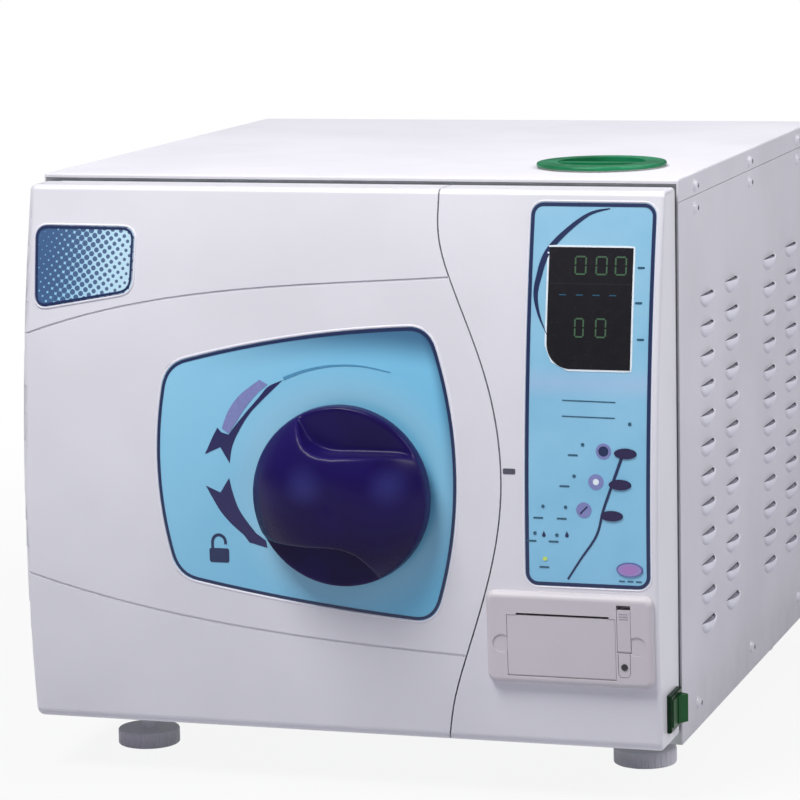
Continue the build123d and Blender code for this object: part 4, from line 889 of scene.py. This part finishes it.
bars = []
for x0, x1 in ((177, 184.5), (192, 199.5), (205.8, 213.3)):
    bars += zero(x0, x1, 377, 389)
for x0, x1 in ((178, 184), (193, 200)):
    bars += zero(x0, x1, 334, 346.5)
printed("display_digits", bars, window_face, digit_green, "case", digit_t)
dash_z = 362.7
faint = [stroke([(x, dash_z), (x + 5, dash_z)], 0.8) for x in (166, 178, 190, 202)]
printed("display_dashes", faint, window_face, lamp_dark, "case", digit_t)

# Catch mark beside the seam, a dark patch painted as the shade in its slot
printed("catch_mark", [dash(131.9, 239, 4.5, 2, 0.8)], 0.0, shadow_ink, "case", catch_t)


# Printer marks, laid out across (u) and up (v) the bezel's face

printer_x, printer_z = 175.0, 121.0
printer_face = 6.0
printer_tilt = (printer_z - crown_z) / front_arc_r


def on_printer(u, v, w):
    """Point of the printer's bezel: across, up and out of its face."""
    base_y = arc_y - sqrt(front_arc_r ** 2 - (printer_z - crown_z) ** 2)
    level = sqrt(1 - printer_tilt ** 2)
    y = base_y - level * w + printer_tilt * v
    z = printer_z + level * v + printer_tilt * w
    return place(printer_x + u, y, z)


def printer_mark(name, outline, paint, thick):
    """Thin mark on the printer's bezel, sunk a little into it."""
    form = bmesh.new()
    lower = [form.verts.new(on_printer(u, v, printer_face - 0.1)) for u, v in outline]
    upper = [form.verts.new(on_printer(u, v, printer_face + thick)) for u, v in outline]
    form.faces.new(lower)
    form.faces.new(upper)
    for i in range(len(outline)):
        j = (i + 1) % len(outline)
        form.faces.new([lower[i], lower[j], upper[j], upper[i]])
    return from_bmesh(name, form, paint, "case")


printer_mark("printer_lamp", oval(40.0, -17.2, 2.4, steps=20), ink("lamp_off", "#26242b", 0.25), 0.5)
# Painted shade: thin dark lines stand for the grooves round the lamp strip.
strip = [(35.6, -7.6), (35.6, -22.0), (37.0, -24.6), (42.6, -24.6), (44.2, -22.0), (44.2, -7.6)]
printer_mark("printer_groove_shade_lines", stroke(strip, 0.35), shadow_ink, 0.05)


# Softly rounded piece that stands for its hard-edged solid

weld_gap = 0.00001


def softened(node, voxel, rounds, body):
    """Copy of a node's shape, remeshed and smoothed, in place of the node."""
    source = frame["nodes"][node]
    mesh = source.data.copy()
    form = bmesh.new()
    form.from_mesh(mesh)
    bmesh.ops.remove_doubles(form, verts=form.verts, dist=weld_gap)
    form.to_mesh(mesh)
    form.free()
    work = bpy.data.objects.new(node + "_work", mesh)
    bpy.context.scene.collection.objects.link(work)
    remesh = work.modifiers.new("even", "REMESH")
    remesh.mode = "VOXEL"
    remesh.voxel_size = voxel * MM
    smooth = work.modifiers.new("soft", "SMOOTH")
    smooth.iterations = rounds
    smooth.factor = 0.5
    seen = work.evaluated_get(bpy.context.evaluated_depsgraph_get())
    made = bpy.data.meshes.new_from_object(seen)
    bpy.data.objects.remove(work)
    piece = as_piece(node + "_soft", made, source.data.materials[0], body, smooth=True)
    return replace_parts(piece, node)


softened("knob", 0.8, 56, "knob_and_cam")

# Small forms repeated by a node tree: crosses in the screw heads and meshes in the louvres, grey as
# painted shade


def cross_form(nodes, links, source):
    """Two bars that cross."""
    joined = nodes.new("GeometryNodeJoinGeometry")
    for first, second in (("Length", "Width"), ("Width", "Length")):
        size = nodes.new("ShaderNodeCombineXYZ")
        links.new(source.outputs[first], size.inputs["X"])
        links.new(source.outputs[second], size.inputs["Y"])
        links.new(source.outputs["Depth"], size.inputs["Z"])
        bar = nodes.new("GeometryNodeMeshCube")
        links.new(size.outputs[0], bar.inputs["Size"])
        links.new(bar.outputs["Mesh"], joined.inputs[0])
    return joined.outputs[0]


def oval_form(nodes, links, source):
    """Flat oval plate that reaches Length along Y and Width along X from its middle."""
    sides = 40
    plate = nodes.new("GeometryNodeMeshCylinder")
    plate.inputs["Vertices"].default_value = sides
    links.new(source.outputs["Length"], plate.inputs["Radius"])
    links.new(source.outputs["Depth"], plate.inputs["Depth"])
    share = nodes.new("ShaderNodeMath")
    share.operation = "DIVIDE"
    links.new(source.outputs["Width"], share.inputs[0])
    links.new(source.outputs["Length"], share.inputs[1])
    scale = nodes.new("ShaderNodeCombineXYZ")
    links.new(share.outputs[0], scale.inputs["X"])
    scale.inputs["Y"].default_value = 1.0
    scale.inputs["Z"].default_value = 1.0
    squeezed = nodes.new("GeometryNodeTransform")
    links.new(plate.outputs["Mesh"], squeezed.inputs["Geometry"])
    links.new(scale.outputs[0], squeezed.inputs["Scale"])
    return squeezed.outputs[0]


def repeat_tree(name, form, paint, **sizes):
    """Tree that puts one small form on every point, turned as the point says."""
    tree = bpy.data.node_groups.new(name, "GeometryNodeTree")
    face = tree.interface
    face.new_socket("Geometry", in_out="INPUT", socket_type="NodeSocketGeometry")
    for label, value in sizes.items():
        socket = face.new_socket(label, in_out="INPUT", socket_type="NodeSocketFloat")
        socket.default_value = value * MM
    face.new_socket("Geometry", in_out="OUTPUT", socket_type="NodeSocketGeometry")
    nodes, links = tree.nodes, tree.links
    source = nodes.new("NodeGroupInput")
    turn = nodes.new("GeometryNodeInputNamedAttribute")
    turn.data_type = "FLOAT_VECTOR"
    turn.inputs["Name"].default_value = "turn"
    spread = nodes.new("GeometryNodeInstanceOnPoints")
    links.new(source.outputs["Geometry"], spread.inputs["Points"])
    links.new(form(nodes, links, source), spread.inputs["Instance"])
    links.new(turn.outputs["Attribute"], spread.inputs["Rotation"])
    real = nodes.new("GeometryNodeRealizeInstances")
    links.new(spread.outputs[0], real.inputs[0])
    finish = nodes.new("GeometryNodeSetMaterial")
    finish.inputs["Material"].default_value = paint
    links.new(real.outputs[0], finish.inputs["Geometry"])
    links.new(finish.outputs[0], nodes.new("NodeGroupOutput").inputs[0])
    return tree


def repeated(name, places, form, paint, body, **sizes):
    """Piece made of a form at every (spot, turn)."""
    points = bpy.data.meshes.new(name + "_points")
    points.from_pydata([spot for spot, _ in places], [], [])
    attribute = points.attributes.new("turn", "FLOAT_VECTOR", "POINT")
    for i, (_, turn) in enumerate(places):
        attribute.data[i].vector = turn
    holder = bpy.data.objects.new(name + "_points", points)
    bpy.context.scene.collection.objects.link(holder)
    modifier = holder.modifiers.new("repeat", "NODES")
    modifier.node_group = repeat_tree(name, form, paint, **sizes)
    seen = holder.evaluated_get(bpy.context.evaluated_depsgraph_get())
    mesh = bpy.data.meshes.new_from_object(seen)
    bpy.data.objects.remove(holder)
    return as_piece(name, mesh, paint, body)


# A grey cross lies on the crown of each screw's head, painted shade for its cross recess
head_h = 3.2
level = (0.0, 0.0, 0.0)
to_side = (0.0, pi / 2, 0.0)
to_rear = (pi / 2, 0.0, 0.0)
screws = [
    (place(side * (case_half_w + head_h), y, z), to_side)
    for side in (-1, 1) for z in (430.0, 414.0, 51.5) for y in (50.0, 235.0, 420.0)
]
screws += [
    (place(x, case_rear_y + head_h, z), to_rear)
    for z in (430.0, 42.0) for x in (-200.0, 0.0, 200.0)
]
repeated("screw_recesses", screws, cross_form, recess_shade_grey, "case", Length=3.4, Width=0.8, Depth=0.5)

# A grey woven sheet lies just below the mouth of each louvre, painted shade for the mouth
shade_mesh_inset, shade_mesh_drop = 1.4, 1.4
first_louvre_z, louvre_pitch = 106.0, 22.0
louvre_mouths = [
    (place(side * (case_half_w - shade_mesh_inset), y, first_louvre_z + row * louvre_pitch - shade_mesh_drop), level)
    for side in (-1, 1) for y in (86.0, 169.0, 306.0, 391.0) for row in range(12)
]
shade_mesh_sizes = {"Length": 20.0, "Width": 5.9, "Depth": 0.5}
repeated("louvre_meshes", louvre_mouths, oval_form, louvre_shade_weave(), "case", **shade_mesh_sizes)

# Floor, light and camera


def stage_paint(name, code, own_light):
    """Matte floor that shows white to the camera and in reflections, fully so far away."""
    paint = Paint(name, hue(code), 0.9)
    tree = paint.tree
    rays = tree.nodes.new("ShaderNodeLightPath")
    seen = Wire(paint, rays.outputs["Is Camera Ray"]) + Wire(paint, rays.outputs["Is Glossy Ray"])
    x, y, _ = paint.axes()
    near_r, far_r = 320.0, 1500.0
    away = paint.length(x, y - case_rear_y / 2)
    share = own_light + away.rise(near_r, far_r) * (1.0 - own_light)
    glow = tree.nodes.new("ShaderNodeEmission")
    glow.inputs["Strength"].default_value = 1.0
    mixed = tree.nodes.new("ShaderNodeMixShader")
    tree.links.new((seen * share).socket, mixed.inputs[0])
    tree.links.new(paint.shader.outputs[0], mixed.inputs[1])
    tree.links.new(glow.outputs[0], mixed.inputs[2])
    tree.links.new(mixed.outputs[0], tree.nodes["Material Output"].inputs["Surface"])
    return paint.material


floor_mesh = bpy.data.meshes.new("floor")
floor_reach = 12.0
floor_corners = [(x * floor_reach, y * floor_reach, 0) for x, y in ((-1, -1), (1, -1), (1, 1), (-1, 1))]
floor_mesh.from_pydata(floor_corners, [], [(0, 1, 2, 3)])
floor = bpy.data.objects.new("floor", floor_mesh)
bpy.context.scene.collection.objects.link(floor)
floor_mesh.materials.append(stage_paint("studio_floor", "#b8b8c0", 0.9))

# The world gives a little cool light and shows white to the camera
world = bpy.data.worlds.new("studio")
bpy.context.scene.world = world
world.use_nodes = True
sky = world.node_tree
sky.nodes.clear()
rays = sky.nodes.new("ShaderNodeLightPath")
lit = sky.nodes.new("ShaderNodeBackground")
lit.inputs["Color"].default_value = (0.80, 0.79, 1.0, 1.0)
lit.inputs["Strength"].default_value = 0.18
shown = sky.nodes.new("ShaderNodeBackground")
shown.inputs["Color"].default_value = (1.0, 1.0, 1.0, 1.0)
choice = sky.nodes.new("ShaderNodeMixShader")
out = sky.nodes.new("ShaderNodeOutputWorld")
sky.links.new(rays.outputs["Is Camera Ray"], choice.inputs[0])
sky.links.new(lit.outputs[0], choice.inputs[1])
sky.links.new(shown.outputs[0], choice.inputs[2])
sky.links.new(choice.outputs[0], out.inputs["Surface"])


def soft_lamp(name, spot, target, size, power):
    """Square panel lamp that faces a target; places in metres, power in watts."""
    lamp = bpy.data.lights.new(name, "AREA")
    lamp.shape = "SQUARE"
    lamp.size = size
    lamp.energy = power
    holder = bpy.data.objects.new(name, lamp)
    holder.location = spot
    holder.rotation_euler = (Vector(target) - Vector(spot)).to_track_quat("-Z", "Y").to_euler()
    bpy.context.scene.collection.objects.link(holder)


soft_lamp("key_panel", (-0.6, -1.5, 2.5), (0.0, -0.2, 0.22), 1.1, 68.0)
soft_lamp("fill_panel", (1.45, -0.4, 1.4), (0.2, 0.0, 0.25), 0.9, 15.0)
soft_lamp("rear_top_panel", (0.3, 1.9, 2.8), (0.0, 0.2, 0.3), 1.6, 20.0)

# The camera stands where the fit to the photo put it

azimuth, elevation, roll = radians(17.68), radians(9.045), radians(-1.167)
eye = place(817.3, -2462.0, 688.2)
forward = Vector((-sin(azimuth) * cos(elevation), cos(azimuth) * cos(elevation), -sin(elevation)))
right = Vector((cos(azimuth), sin(azimuth), 0.0))
up = right.cross(forward)
turned_right = right * cos(roll) + up * sin(roll)
turned_up = up * cos(roll) - right * sin(roll)
lens = bpy.data.cameras.new("camera")
lens.lens = 162.56
lens.sensor_width = 36.0
lens.clip_end = 100.0
camera = bpy.data.objects.new("camera", lens)
bpy.context.scene.collection.objects.link(camera)
turn = Matrix((turned_right, turned_up, -forward)).transposed()
camera.matrix_world = Matrix.Translation(eye) @ turn.to_4x4()
bpy.context.scene.camera = camera
bpy.context.scene.view_settings.view_transform = "Standard"
